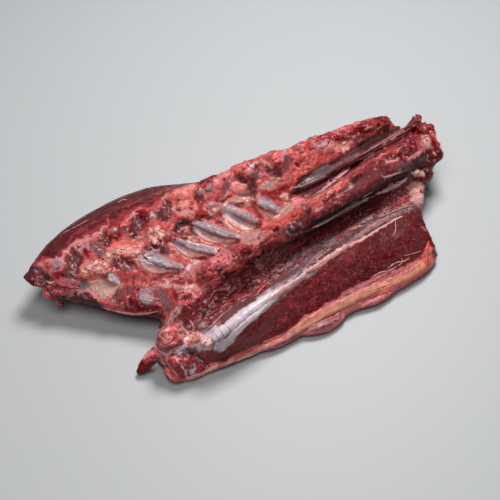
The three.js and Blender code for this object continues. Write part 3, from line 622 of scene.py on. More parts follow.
CHINE_RIGHT = [
    (ROLL, 0, 0.4, 0.15, [(318, 208), (330, 200), (344, 186), (356, 174), (368, 164), (382, 158),
        (398, 160), (404, 164), (398, 172), (384, 180), (368, 190), (352, 200), (334, 210), (322, 216)]),
    (FIBRE, 1.6, 0.4, 0.3, [(352, 176), (366, 168), (384, 163), (396, 164)]),
    (MAROON, 3.0, 0.2, 0.3, [(352, 182), (370, 174), (388, 168)]),
    (BEIGE, 0.9, 0.4, 0.2, [(350, 183), (353, 185)]),
    # Painted shade on the roll's lower side.
    (DARK, 0, 0.0, 0.1, [(316, 220), (334, 208), (352, 199), (370, 188), (388, 178), (404, 170),
        (404, 176), (386, 186), (368, 197), (350, 206), (332, 216)]),
    (BLOOD, 0, 0.8, 0.7, [(372, 156), (380, 150), (390, 146), (398, 142), (408, 136), (416, 138),
        (419, 148), (414, 156), (404, 162), (390, 160), (380, 160)]),
    (BLOOD, 0, 0.4, 0.5, [(402, 142), (410, 140), (416, 146), (412, 154), (404, 152)]),
    (CORAL, 1.8, 0.5, 0.5, [(388, 152), (398, 150), (404, 157)]),
    (PEACH, 1.2, 0.8, 0.3, [(378, 158), (386, 154)]),
    (ROSE, 1.4, 0.7, 0.2, [(386, 162), (396, 160)]),
    (MAUVE, 0, 0.2, 0.2, [(396, 164), (408, 159), (410, 166), (404, 172), (396, 172)]),
    (DARK, 0, 0.0, 0.5, [(410, 162), (420, 154), (434, 148), (434, 162), (424, 168), (412, 172)]),
    (RED, 0, 0.6, 0.4, [(416, 132), (424, 128), (432, 133), (438, 142), (440, 149), (433, 152),
        (422, 150), (418, 142)]),
    (TAN, 0, 0.8, 0.1, [(422, 134), (428, 135), (431, 143), (433, 148), (426, 150), (421, 144)]),
    (BLOOD, 1.2, -0.4, 0.2, [(429, 134), (434, 144)]),
    (BLOOD, 0, 0.6, 0.2, [(433, 149), (440, 145), (446, 152), (445, 161), (436, 166), (431, 158)]),
    (TAN, 0.8, 0.5, 0.1, [(440, 146), (444, 154), (442, 160)]),
    (DARK, 0, 0.3, 0.2, [(424, 166), (433, 163), (434, 172), (428, 178), (422, 180)]),
    (ROSE, 1.6, 0.8, 0.2, [(408, 160), (414, 156), (420, 152)]),
    (BLACK, 0, -1.0, 0.2, [(380, 184), (396, 175), (412, 168), (424, 166), (420, 172), (404, 178),
        (388, 188)]),
    (TAN, 1.0, 0.5, 0.2, [(382, 177), (392, 176), (402, 170)]),
    (CREAM, 0, 0.6, 0.3, [(411, 173), (416, 170), (422, 170), (424, 176), (416, 176)]),
    (BLOOD, 0, -0.2, 0.8, [(404, 180), (414, 177), (423, 178), (424, 184), (412, 186), (402, 188)]),
]
TROUGH_MARKS = [
    (DARK, 0, -0.8, 0.15, [(290, 192), (300, 178), (316, 166), (332, 158), (346, 152), (360, 144),
        (376, 134), (392, 126), (408, 122), (418, 117), (422, 124), (412, 134), (396, 144), (380, 152),
        (366, 162), (350, 172), (334, 184), (320, 194), (304, 198)]),
    (RED, 0.8, 0.3, 0.1, [(316, 165), (334, 157), (350, 150)]),
    (GREY, 0, 0.4, 0.05, [(304, 180), (314, 172), (324, 167), (334, 165), (336, 170), (326, 177),
        (314, 185), (306, 188)]),
    (MAUVE, 0, 0.2, 0.1, [(334, 165), (346, 159), (358, 153), (368, 150), (374, 152), (362, 160),
        (348, 167), (337, 172)]),
    (MAROON, 0, 0.2, 0.15, [(292, 194), (306, 188), (320, 182), (334, 175), (346, 168), (350, 168),
        (338, 178), (324, 188), (312, 195), (300, 197)]),
    (ROSE, 0.7, 0.8, 0.0, [(318, 193), (330, 184), (340, 175), (350, 167)]),
    (TAN, 0.5, 0.6, 0.0, [(300, 187), (312, 183), (324, 177)]),
    # Painted shade in the gap between the strips.
    (BLACK, 0, -2.0, 0.05, [(356, 147), (372, 138), (386, 131), (400, 127), (398, 132), (382, 140),
        (366, 149)]),
    (MAUVE, 0, 0.6, 0.05, [(368, 148), (382, 140), (396, 132), (408, 126), (413, 127), (402, 135),
        (388, 143), (374, 151)]),
    (TAN, 0.7, 0.4, 0.0, [(374, 148), (390, 139), (406, 130)]),
    (BLOOD, 0, 0.3, 0.7, [(404, 127), (412, 121), (418, 115), (425, 121), (424, 131), (414, 136),
        (406, 134)]),
    (MAROON, 1.4, 0.3, 0.5, [(408, 126), (414, 121), (420, 117)]),
]
GUTTER_FLOOR = [
    (200, 300), (216, 290), (232, 280), (260, 268), (290, 252), (320, 236), (350, 216), (384, 196),
    (404, 188), (418, 200), (396, 208), (372, 216), (346, 232), (320, 250), (300, 268), (276, 280),
    (256, 296), (236, 306), (220, 318), (206, 326), (196, 316),
]
GUTTER_MARKS = [
    (WET, 0, -0.6, 0.9, GUTTER_FLOOR),
    # Painted shade: the black band under the chine's overhanging lip.
    (BLACK, 0, -1.6, 0.6, [(222, 286), (234, 274), (248, 272), (262, 256), (280, 248), (300, 242),
        (320, 230), (340, 220), (346, 212), (326, 218), (304, 232), (286, 244), (262, 252), (246, 266),
        (230, 274)]),
    (GREY, 0, 0.5, 0.5, [(284, 264), (294, 253), (306, 245), (320, 240), (334, 234), (338, 239),
        (330, 248), (318, 255), (306, 263), (296, 271), (286, 274)]),
    (MAUVE, 0, 0.5, 0.6, [(254, 262), (266, 254), (280, 250), (294, 246), (290, 254), (276, 262),
        (262, 268)]),
    (RED, 3.4, 0.6, 0.8, [(248, 278), (258, 276), (262, 282)]),
    (CRIMSON, 3.0, 0.4, 0.8, [(222, 292), (216, 300)]),
    (MAUVE, 0, 0.5, 0.4, [(230, 296), (236, 289), (242, 288), (244, 296), (238, 302)]),
    (TAN, 2.2, 0.6, 0.2, [(258, 266), (262, 267)]),
    (GREY, 0, 0.3, 0.4, [(294, 262), (300, 256), (308, 255), (318, 252), (310, 262), (304, 270),
        (296, 272)]),
    (RED, 3.0, 0.5, 0.8, [(316, 236), (326, 232)]),
    (RED, 3.6, 0.5, 0.8, [(344, 222), (354, 218)]),
    (RED, 3.0, 0.5, 0.8, [(372, 204), (380, 200), (408, 200)]),
    (FIBRE, 2.4, 0.5, 0.8, [(392, 196), (400, 194)]),
    (MAUVE, 2.2, 0.5, 0.6, [(330, 226), (334, 232)]),
    (BLOOD, 0, 0.4, 0.5, [(200, 308), (212, 304), (222, 310), (216, 322), (206, 330), (198, 320)]),
    (MAUVE, 0, 0.9, 0.3, [(195, 326), (198, 320), (205, 320), (208, 326), (203, 331), (197, 331)]),
    (MAUVE, 0, 0.3, 0.3, [(214, 326), (224, 314), (238, 305), (252, 298), (258, 300), (246, 306),
        (232, 314), (220, 328)]),
    (ROSE, 0.8, 0.6, 0.2, [(202, 333), (212, 327), (221, 317), (234, 307), (250, 299)]),
]
SILVER_MARKS = [
    (MAUVE, 6.0, 0.2, 0.1, [(314, 266), (328, 256), (344, 246), (362, 236), (384, 222), (404, 212),
        (418, 207)]),
    (LOIN, 2.6, 0.0, 0.1, [(324, 266), (340, 256), (356, 248), (372, 238), (388, 227), (404, 217),
        (418, 212)]),
    (BONE, 0, 0.5, 0.0, [(208, 338), (217, 329), (227, 321), (237, 313), (249, 305), (260, 299),
        (272, 292), (268, 301), (256, 309), (244, 317), (234, 326), (226, 336), (214, 344)]),
    (SHEEN, 0, 0.5, 0.0, [(220, 352), (214, 350), (216, 344), (226, 337), (236, 327), (246, 317),
        (258, 309), (270, 300), (266, 311), (256, 319), (244, 325), (236, 331), (234, 339), (228, 346)]),
    (ROSE, 0, 0.8, 0.05, [(268, 296), (280, 287), (292, 281), (300, 275), (307, 272), (304, 279),
        (298, 285), (290, 290), (280, 296), (271, 305)]),
    (GREY, 0, 0.0, 0.05, [(271, 284), (279, 279), (286, 277), (294, 272), (302, 268), (304, 272),
        (296, 277), (286, 283), (278, 288), (272, 290)]),
    (GREY, 0.6, -0.3, 0.0, [(213, 344), (221, 340), (229, 333), (237, 326)]),
    (DULL, 0, 0.4, 0.05, [(320, 254), (331, 246), (340, 238), (352, 229), (364, 223), (376, 216),
        (386, 213), (398, 207), (410, 205), (420, 208), (410, 211), (398, 215), (388, 219), (378, 226),
        (366, 234), (354, 240), (344, 247), (330, 256)]),
    (FILM, 2.4, 0.3, 0.05, [(332, 254), (345, 246), (356, 238), (367, 231), (378, 223), (389, 218),
        (400, 213), (412, 209)]),
    (TAN, 0.9, 0.2, 0.0, [(356, 235), (368, 228), (380, 220), (394, 214)]),
    (LOIN, 1.3, -0.4, 0.1, [(308, 268), (314, 262), (322, 258), (340, 250), (352, 243), (366, 237),
        (376, 229)]),
    (ROSE, 0, 1.0, 0.0, [(310, 271), (316, 264), (324, 258), (334, 253), (343, 248), (350, 243),
        (360, 239), (358, 242), (350, 247), (342, 253), (331, 260), (323, 267), (316, 272)]),
    (TAN, 0, 0.1, 0.05, [(406, 187), (413, 183), (423, 182), (425, 186), (421, 195), (420, 208),
        (415, 206), (410, 197)]),
    (ROSE, 1.6, 0.2, 0.0, [(414, 188), (419, 192), (417, 202)]),
]
LOIN_MARKS = [
    (LOIN, 0, 0.0, 0.3, [(222, 360), (214, 357), (206, 356), (214, 352), (222, 354), (236, 340),
        (238, 332), (268, 312), (290, 292), (306, 280), (318, 272), (340, 256), (360, 243), (378, 229),
        (398, 216), (420, 208), (424, 228), (440, 246), (438, 256), (428, 244), (420, 258), (400, 268),
        (380, 276), (352, 288), (330, 300), (300, 318), (286, 332), (262, 342), (240, 352)]),
    (BLOOD, 0, 0.3, 0.3, [(236, 334), (248, 328), (262, 320), (266, 312), (262, 326), (252, 338),
        (240, 344), (234, 342)]),
    (BLACK, 0.9, -0.9, 0.1, [(246, 336), (256, 328), (262, 316), (268, 306), (280, 296)]),
    (MAROON, 0, 0.0, 0.3, [(208, 358), (220, 356), (232, 350), (244, 346), (238, 354), (226, 360),
        (214, 362)]),
    (BLOOD, 1.6, 0.0, 0.4, [(262, 338), (280, 330), (296, 318), (320, 306)]),
    (BLOOD, 2.2, 0.0, 0.4, [(372, 258), (384, 258), (394, 254)]),
    (BLOOD, 1.6, 0.0, 0.4, [(396, 246), (404, 243), (412, 244)]),
    (BLOOD, 1.6, 0.0, 0.4, [(352, 290), (364, 280), (378, 276)]),
    (FIBRE, 0.6, 0.3, 0.2, [(296, 294), (304, 294), (310, 290)]),
    (FIBRE, 0.6, 0.3, 0.2, [(290, 306), (298, 308), (306, 307)]),
    (FIBRE, 0.6, 0.3, 0.2, [(380, 232), (384, 236), (386, 241)]),
    (BLOOD, 0, 0.3, 0.3, [(422, 228), (430, 230), (442, 242), (444, 254), (434, 258), (430, 246),
        (424, 238)]),
    (PINK, 0.7, 0.4, 0.1, [(422, 228), (430, 234), (434, 240)]),
]
FAT_MARKS = [
    (PINK, 0, 0.4, 0.25, [(215, 364), (228, 360), (244, 353), (262, 345), (280, 337), (292, 328),
        (302, 320), (318, 309), (330, 302), (344, 295), (356, 287), (372, 282), (392, 272), (408, 266),
        (418, 258), (424, 246), (430, 237), (433, 240), (430, 250), (434, 262), (432, 270), (420, 278),
        (404, 288), (384, 297), (362, 305), (340, 318), (330, 324), (318, 330), (300, 338), (284, 345),
        (262, 354), (240, 364), (222, 370)]),
    (CREAM, 1.6, 0.5, 0.1, [(226, 363), (244, 357), (262, 349), (280, 341)]),
    (SALMON, 1.6, 0.2, 0.3, [(236, 356), (250, 350), (266, 342)]),
    (AMBER, 0, 0.6, 0.1, [(288, 336), (300, 326), (316, 317), (334, 308), (350, 299), (366, 292),
        (384, 286), (398, 279), (396, 283), (380, 291), (362, 299), (344, 308), (328, 318), (310, 326),
        (296, 334)]),
    (PEACH, 1.2, 0.3, 0.1, [(296, 324), (312, 314), (330, 305), (346, 297)]),
    (ORANGE, 0.7, -0.4, 0.1, [(300, 327), (318, 317), (336, 308), (352, 300)]),
    (SALMON, 0, 0.3, 0.2, [(380, 290), (398, 282), (412, 274), (424, 266), (432, 266), (424, 276),
        (404, 288), (386, 296)]),
    (AMBER, 1.2, 0.3, 0.1, [(396, 279), (408, 273), (418, 268)]),
    (SALMON, 0, 0.6, 0.15, [(414, 268), (421, 258), (425, 246), (430, 238), (432, 243), (430, 252),
        (432, 262), (426, 268), (416, 272)]),
    (ORANGE, 1.4, 0.4, 0.1, [(428, 264), (426, 254), (429, 242)]),
    (PINK, 1.4, 0.6, 0.1, [(350, 290), (360, 286), (374, 282), (388, 274)]),
    (MAUVE, 0, 0.3, 0.2, [(306, 330), (316, 325), (326, 322), (340, 315), (342, 318), (332, 325),
        (320, 331)]),
]
LOIN_END = [
    (FIBRE, 0, 0.0, 0.7, [(152, 342), (156, 335), (163, 330), (172, 329), (180, 331), (183, 338),
        (181, 346), (174, 350), (164, 353), (156, 350)]),
    (RED, 2.6, 0.2, 0.4, [(172, 334), (177, 340)]),
    (MAUVE, 1.2, 0.2, 0.3, [(164, 334), (165, 342), (162, 350)]),
    (PINK, 0.7, 0.3, 0.2, [(155, 345), (159, 352), (166, 353), (174, 350)]),
    (CORAL, 0, 0.5, 0.3, [(168, 328), (173, 323), (180, 323), (181, 329), (176, 331), (170, 330)]),
    (ROSE, 1.6, 0.5, 0.1, [(143, 352), (148, 344), (154, 337), (160, 331), (168, 328)]),
    (CORAL, 1.6, 0.3, 0.2, [(148, 350), (153, 343), (158, 336)]),
    (PINK, 0, 0.2, 0.2, [(144, 352), (150, 348), (157, 350), (158, 360), (150, 363), (142, 362)]),
    (BLOOD, 0, 0.2, 0.2, [(142, 361), (150, 358), (155, 360), (150, 368), (143, 376), (135, 376),
        (138, 367)]),
    (MAUVE, 0, 0.2, 0.2, [(156, 354), (164, 355), (168, 362), (168, 368), (160, 366), (156, 361)]),
    (PINK, 1.0, 0.3, 0.1, [(157, 355), (163, 362), (168, 370)]),
    (MAROON, 0, -0.2, 0.4, [(167, 355), (176, 354), (186, 352), (193, 356), (199, 364), (206, 371),
        (196, 377), (188, 380), (180, 378), (172, 373), (166, 364)]),
    (RED, 0, 0.2, 0.4, [(168, 357), (175, 356), (177, 362), (171, 365)]),
    (BLOOD, 0, 0.2, 0.3, [(186, 355), (193, 357), (196, 363), (188, 363)]),
    (LILAC, 0, 0.2, 0.1, [(188, 364), (194, 363), (197, 368), (193, 374), (188, 371)]),
    (SLATE, 1.4, 0.0, 0.1, [(188, 364), (192, 366)]),
    (BONE, 0, 0.6, 0.0, [(174, 354), (178, 348), (185, 345), (184, 349), (179, 353)]),
    (CREAM, 0, 0.9, 0.2, [(183, 341), (190, 333), (200, 334), (209, 336), (213, 341), (210, 348),
        (204, 350), (196, 346), (187, 345)]),
    (SALMON, 2.2, 0.5, 0.3, [(188, 343), (194, 342), (198, 339)]),
    (MAUVE, 2.0, 0.0, 0.3, [(188, 348), (196, 350)]),
    (BLACK, 0, -2.0, 0.1, [(184, 350), (194, 351), (201, 357), (207, 364), (213, 370), (207, 368),
        (200, 361), (192, 355)]),
    (RED, 0, 0.2, 0.3, [(199, 364), (205, 367), (210, 371), (204, 374), (198, 371)]),
    (PINK, 0.9, 0.4, 0.1, [(195, 356), (203, 363), (211, 369)]),
    (CREAM, 1.2, 0.5, 0.1, [(188, 378), (200, 373), (210, 369), (216, 366)]),
    (PEACH, 1.6, 0.3, 0.1, [(188, 381), (198, 376), (208, 372)]),
    (CORAL, 1.6, 0.3, 0.2, [(162, 368), (172, 376), (184, 383), (190, 385)]),
    (PINK, 0.9, 0.3, 0.1, [(164, 372), (174, 380), (186, 387)]),
    (MAROON, 0, -0.6, 0.6, [(182, 322), (192, 320), (196, 326), (192, 333), (185, 331)]),
    (ROSE, 0.8, 0.5, 0.2, [(181, 323), (184, 330), (190, 335)]),
    (ROSE, 0.8, 0.5, 0.2, [(190, 321), (193, 326), (192, 333)]),
    (PINK, 0.7, 0.2, 0.3, [(156, 354), (166, 356), (176, 359), (187, 361)]),
    (PINK, 0.6, 0.2, 0.3, [(166, 356), (168, 364), (174, 372), (181, 379)]),
    (ROSE, 0.6, 0.2, 0.3, [(176, 358), (180, 366), (186, 374), (190, 382)]),
    (MAUVE, 1.0, 0.0, 0.3, [(170, 366), (180, 365), (190, 368)]),
    (ROSE, 0.6, 0.2, 0.2, [(167, 343), (160, 335)]),
    (PINK, 0.6, 0.2, 0.2, [(167, 343), (157, 343)]),
    (PINK, 0.6, 0.2, 0.2, [(168, 343), (173, 333)]),
    (ROSE, 0.6, 0.2, 0.2, [(168, 344), (179, 343)]),
]
# The outline of the loin's cut end, which is made paler with painted light.
CUT_END_OUTLINE = [
    (140, 354), (150, 338), (164, 326), (184, 328), (192, 348), (216, 364), (218, 376), (190, 390),
    (168, 384), (150, 368),
]
MARKS = [
    FAR_MUSCLE, SAWN_LEFT, SAWN_RIGHT, CHEST_FAT, CHEST_END, BETWEEN_RIBS, CHINE_MARKS, CHINE_RIGHT,
    TROUGH_MARKS, RIB_MARKS, GUTTER_MARKS, SILVER_MARKS, FAT_MARKS, LOIN_MARKS, LOIN_END,
]

# The marks' edges wander a little, as torn meat does.
WANDER = [[(1.0, 7, 4.0), (0.35, 3.2, 6.0)], [(1.0, 7, 5.0), (0.35, 3.2, 7.0)]]
WANDER_REACH = 2.4
picture = in_picture(places)
wandered = picture + WANDER_REACH * np.stack([mixed(layers) for layers in WANDER], 1)


def to_line(spots, line):
    """Distance of each spot in the picture from a line drawn there."""
    line = np.array(line, float)
    nearest = np.full(len(spots), 1e9)
    for a, b in zip(line[:-1], line[1:]):
        share = np.clip(((spots - a) @ (b - a)) / max((b - a) @ (b - a), 1e-6), 0, 1)
        nearest = np.minimum(nearest, np.linalg.norm(spots - a - share[:, None] * (b - a), axis=1))
    return nearest


def in_outline(spots, outline):
    """How far inside a closed outline each spot lies, less than 0 outside it."""
    outline = np.array(outline, float)
    gap = to_line(spots, np.vstack([outline, outline[:1]]))
    inside = np.zeros(len(spots), bool)
    for a, b in zip(outline, np.roll(outline, -1, 0)):
        passes = (a[1] > spots[:, 1]) != (b[1] > spots[:, 1])
        crossing = a[0] + (spots[:, 1] - a[1]) / (b[1] - a[1] + 1e-9) * (b[0] - a[0])
        inside ^= passes & (spots[:, 0] < crossing)
    return np.where(inside, gap, -gap)


def between(starts, whole, fades, gone):
    """Where the lengthwise bands lie between these, above the side that it lies on."""
    return smooth_step(band, starts, whole) * (1 - smooth_step(band, fades, gone)) * (1 - under)


BONY_BANDS = (5.0, 5.6, 12.0, 12.4)
LOIN_BANDS = (0.9, 1.2, 1.9, 2.1)
LEAST_ROUGH = 0.15
SOFT_STROKE, SOFT_OUTLINE = 0.9, 1.5
SLOPE = 2.2
MARGIN = 4
rise = np.zeros(len(places))
bony = between(*BONY_BANDS)
meaty = between(*LOIN_BANDS)
rough = np.maximum(LEAST_ROUGH, bony)
for marks in MARKS:
    for mark_tone, half_width, height, ragged, line in marks:
        corners = np.array(line, float)
        margin = half_width + MARGIN
        close = ((wandered > corners.min(0) - margin) & (wandered < corners.max(0) + margin)).all(1)
        close = np.nonzero(close & (open_view > 0))[0]
        if half_width:
            deep = half_width - to_line(wandered[close], line)
        else:
            deep = in_outline(wandered[close], line)
        soft = SOFT_STROKE if half_width else SOFT_OUTLINE
        share = open_view[close] * smooth_step(deep, -soft, soft)
        tint[close] = lay_over(tint[close], share, mark_tone)
        gentle = open_view[close] * smooth_step(deep, -SLOPE, SLOPE)
        rise[close] = rise[close] * (1 - gentle) + height * gentle
        rough[close] = rough[close] * (1 - share) + ragged * share

# Relief: knobs on the torn parts, fibres along the muscles, a fine grain on the loin.
KNOBS = [(1.2, 8.0, 8.0), (1.1, 4.0, 9.0), (0.7, 2.4, 14.0)]
FIBRES = [(0.6, 3.0, 10.0, (7, 1, 1)), (0.4, 6.0, 11.0, (4, 1, 1))]
LOIN_GRAIN = [(0.6, 14.0, 12.0), (0.5, 3.4, 13.0)]
FIBRE_ON_BONE = 0.25
INSET = 0.2 * MM
muscle = (1 - rough) * (1 - meaty) * (FIBRE_ON_BONE + (1 - FIBRE_ON_BONE) * (1 - bony))
work = mixed(KNOBS) * rough + mixed(FIBRES) * muscle + mixed(LOIN_GRAIN) * meaty
places += normals * ((rise + work) * MM)[:, None]
low, high = np.array(solid_box[0]), np.array(solid_box[1])
places = np.clip(places, low + INSET, high - INSET)


def lightened(by):
    """The tint made lighter, or darker where by is below 0."""
    return tint * (1 + by)[:, None]


# Clots and pale specks on the torn parts, streaks on the muscles, and a stipple on the loin, which
# is paler to the left.
CLOTS = ([(1.0, 5.0, 18.0), (0.7, 2.6, 19.0)], 0.12, 0.5)
PALE_SPECKS = ([(1.0, 4.2, 20.0), (0.8, 2.2, 21.0)], 0.26, 0.56)
SPECKLED = 0.62
CLOT_KEEPS, CLOT_ADDS = 0.26, 0.14
SPECK_KEEPS, SPECK_ADDS = 0.45, 0.55
STREAKS = [(1.0, 2.0, 24.0, (9, 1, 1)), (0.6, 4.5, 25.0, (5, 1, 1))]
STREAKED = 0.5
STIPPLE = [(1.0, 2.2, 22.0, (1.4, 1, 1)), (0.8, 5.0, 23.0, (2.4, 1, 1))]
STIPPLED = 0.6
FLECKS = ([(1.0, 2.0, 26.0, (1.8, 1, 1)), (0.4, 9.0, 27.0)], 0.34, 0.55)
FLECKED = 0.24
LOIN_START, FADE = 290.0, 0.0085
PALE_END, DULL_END = 1.55, 0.85
torn = rough * (1 - meaty)
clotted = tint * CLOT_KEEPS + BLOOD * CLOT_ADDS
tint = lay_over(tint, SPECKLED * blotches(*CLOTS) * torn, clotted)
specked = tint * SPECK_KEEPS + ROSE * SPECK_ADDS
tint = lay_over(tint, SPECKLED * blotches(*PALE_SPECKS) * torn, specked)
tint = lightened(STREAKED * mixed(STREAKS) * muscle)
tint = lightened(STIPPLED * mixed(STIPPLE) * meaty)
tint = lay_over(tint, FLECKED * blotches(*FLECKS) * meaty, PINK)
paler = np.clip(PALE_END - FADE * (picture[:, 0] - LOIN_START), DULL_END, PALE_END)
tint = lightened(meaty * (paler - 1))

# Curds and raw patches on the gutter's floor, painted light on the loin's cut end, and painted
# highlight on what stands proud with painted shade in the hollows.
CURDS = ([(1.0, 3.4, 30.0), (0.8, 2.0, 31.0)], 0.12, 0.46)
CURDLED = 0.5
RAW_PATCHES = ([(1.0, 6.0, 32.0)], 0.1, 0.4)
RAW = 0.6
DAMP_EDGE = (-1, 3)
CUT_EDGE = (-3, 3)
CUT_END_PAINTED_LIGHT = 0.4
RELIEF_PAINTED_LIGHT_AND_SHADE = 0.3
DEEPEST, PROUDEST = -2.5, 2
UNEVEN = [(0.16, 6.0, 16.0), (0.1, 2.6, 17.0)]
damp = open_view * smooth_step(in_outline(wandered, GUTTER_FLOOR), *DAMP_EDGE)
tint = lay_over(tint, CURDLED * blotches(*CURDS) * damp, BONE)
tint = lay_over(tint, RAW * blotches(*RAW_PATCHES) * damp, RED)
# Painted light on the loin's cut end.
lit_cut_end = open_view * smooth_step(in_outline(wandered, CUT_END_OUTLINE), *CUT_EDGE)
tint = lightened(CUT_END_PAINTED_LIGHT * lit_cut_end)
# Painted highlight on the relief's crests and painted shade in its hollows.
tint = lightened(RELIEF_PAINTED_LIGHT_AND_SHADE * np.clip(work, DEEPEST, PROUDEST) * rough)
tint = lightened(mixed(UNEVEN))
flesh_mesh.vertices.foreach_set("co", places.ravel())
flesh_mesh.update()


def paint(mesh, colours, tears):
    """Lays a tone on each vertex, and how torn it is, for the materials to read."""
    layer = mesh.attributes.new("tint", "FLOAT_COLOR", "POINT")
    with_alpha = np.ones((len(mesh.vertices), 4))
    with_alpha[:, :3] = np.clip(colours, 0, 1)
    layer.data.foreach_set("color", with_alpha.ravel())
    mesh.attributes.new("torn", "FLOAT", "POINT").data.foreach_set("value", np.clip(tears, 0, 1))
    for face in mesh.polygons:
        face.use_smooth = True


# The wet grain: noises of so many lumps a metre, and a bump that is deeper where the meat is torn.
GRAIN_DETAIL, GRAIN_ROUGH = 3.0, 0.6
WET_LUMPS = 95.0
DEEPER_TORN = 0.5
BUMP_REACH = 1.2 * MM


def wet_grain_group():
    """Mottling, wet patches and a fine bump that every part of the meat shares."""
    group = bpy.data.node_groups.new("wet_grain", "ShaderNodeTree")
    face = group.interface
    for socket, kind in (("Place", "Vector"), ("Grain", "Float"), ("Height", "Float")):
        face.new_socket(socket, in_out="INPUT", socket_type="NodeSocket" + kind)
    for socket, kind in (("Mottle", "Float"), ("Wet", "Float"), ("Normal", "Vector")):
        face.new_socket(socket, in_out="OUTPUT", socket_type="NodeSocket" + kind)
    inside = group.nodes.new("NodeGroupInput")
    outside = group.nodes.new("NodeGroupOutput")
    fine = group.nodes.new("ShaderNodeTexNoise")
    fine.inputs["Detail"].default_value = GRAIN_DETAIL
    fine.inputs["Roughness"].default_value = GRAIN_ROUGH
    broad = group.nodes.new("ShaderNodeTexNoise")
    broad.inputs["Scale"].default_value = WET_LUMPS
    broad.inputs["Detail"].default_value = GRAIN_DETAIL
    torn = group.nodes.new("ShaderNodeAttribute")
    torn.attribute_name = "torn"
    deeper = group.nodes.new("ShaderNodeMath")
    deeper.operation = "MULTIPLY_ADD"
    deeper.inputs[1].default_value = DEEPER_TORN
    bump = group.nodes.new("ShaderNodeBump")
    bump.inputs["Distance"].default_value = BUMP_REACH
    group.links.new(inside.outputs["Place"], fine.inputs["Vector"])
    group.links.new(inside.outputs["Place"], broad.inputs["Vector"])
    group.links.new(inside.outputs["Grain"], fine.inputs["Scale"])
    group.links.new(torn.outputs["Fac"], deeper.inputs[0])
    group.links.new(inside.outputs["Height"], deeper.inputs[2])
    group.links.new(deeper.outputs["Value"], bump.inputs["Strength"])
    group.links.new(fine.outputs["Fac"], bump.inputs["Height"])
    group.links.new(fine.outputs["Fac"], outside.inputs["Mottle"])
    group.links.new(broad.outputs["Fac"], outside.inputs["Wet"])
    group.links.new(bump.outputs["Normal"], outside.inputs["Normal"])
    return group


WET_GRAIN = wet_grain_group()
MOTTLE_RANGE = (0.35, 0.65)
WET_RANGE = (0.4, 0.6)
LIGHTER_SHARE = 0.8
SHINE = 0.18
JUICE_ROUGH = 0.1
BLEED_TONES = (1.0, 0.25, 0.15)
BLEED_REACH = 2.0 * MM


def spread_out(nodes, reach, low, high):
    """Turns the noise values within reach into values from low to high."""
    ramp = nodes.new("ShaderNodeMapRange")
    for socket, value in zip(("From Min", "From Max", "To Min", "To Max"), (*reach, low, high)):
        ramp.inputs[socket].default_value = value
    return ramp


def finish(name, grain=420.0, height=0.35, dry=0.62, wet=0.34, coat=0.2, bleed=0.06, spread=0.26):
    """A wet finish: the painted tone, mottled, with glossy and duller patches and a fine grain."""
    material = bpy.data.materials.new(name)
    material.use_nodes = True
    nodes = material.node_tree.nodes
    link = material.node_tree.links.new
    shader = nodes["Principled BSDF"]
    tint_node = nodes.new("ShaderNodeAttribute")
    tint_node.attribute_name = "tint"
    where = nodes.new("ShaderNodeTexCoord")
    grain_node = nodes.new("ShaderNodeGroup")
    grain_node.node_tree = WET_GRAIN
    grain_node.inputs["Grain"].default_value = grain
    grain_node.inputs["Height"].default_value = height
    ramp = spread_out(nodes, MOTTLE_RANGE, 1 - spread, 1 + spread * LIGHTER_SHARE)
    mottled = nodes.new("ShaderNodeVectorMath")
    mottled.operation = "SCALE"
    gloss = spread_out(nodes, WET_RANGE, wet, dry)
    link(where.outputs["Object"], grain_node.inputs["Place"])
    link(grain_node.outputs["Mottle"], ramp.inputs["Value"])
    link(tint_node.outputs["Color"], mottled.inputs[0])
    link(ramp.outputs["Result"], mottled.inputs["Scale"])
    link(mottled.outputs["Vector"], shader.inputs["Base Color"])
    link(grain_node.outputs["Wet"], gloss.inputs["Value"])
    link(gloss.outputs["Result"], shader.inputs["Roughness"])
    link(grain_node.outputs["Normal"], shader.inputs["Normal"])
    shader.inputs["Specular IOR Level"].default_value = SHINE
    shader.inputs["Coat Weight"].default_value = coat
    shader.inputs["Coat Roughness"].default_value = JUICE_ROUGH
    shader.inputs["Subsurface Weight"].default_value = bleed
    shader.inputs["Subsurface Radius"].default_value = BLEED_TONES
    shader.inputs["Subsurface Scale"].default_value = BLEED_REACH
    return material


MEAT = finish("wet_meat")
paint(flesh_mesh, tint, torn)
flesh = put_in_scene("flesh", flesh_mesh)
flesh_mesh.materials.append(MEAT)
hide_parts("backbone")
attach(flesh, "root")
skin = skin_of(flesh_mesh)

# THE RIBS
# Six ribs show on the inner side of the chest wall as flat bluish bars under a thin skin, with
# cream fat along the lower side of each. They grow out of the chine and run into the sawn edge.
def seen(u, v):
    """The place on the flesh that shows at a point of the picture, and the way it faces."""
    way = sight(u, v)
    hit, _, face, _ = skin.ray_cast(EYE, way)
    if hit is None:
        hit, _, face, _ = skin.find_nearest(EYE + way * (AIM - EYE).length)
    return hit, Vector(normals[flesh_mesh.polygons[face].vertices[0]])


def eased(line, count):
    """Evenly spaced points on a line whose corners are cut off three times over."""
    line = np.array(line, float)
    for _ in range(3):
        if len(line) > 2:
            cut = np.empty((2 * len(line) - 2, line.shape[1]))
            cut[0::2] = 0.75 * line[:-1] + 0.25 * line[1:]
            cut[1::2] = 0.25 * line[:-1] + 0.75 * line[1:]
            line = np.vstack([line[:1], cut[1:-1], line[-1:]])
    run = np.concatenate([[0], np.cumsum(np.linalg.norm(np.diff(line, axis=0), axis=1))])
    at = np.linspace(0, run[-1], count)
    return np.stack([np.interp(at, run, line[:, k]) for k in range(line.shape[1])], 1)


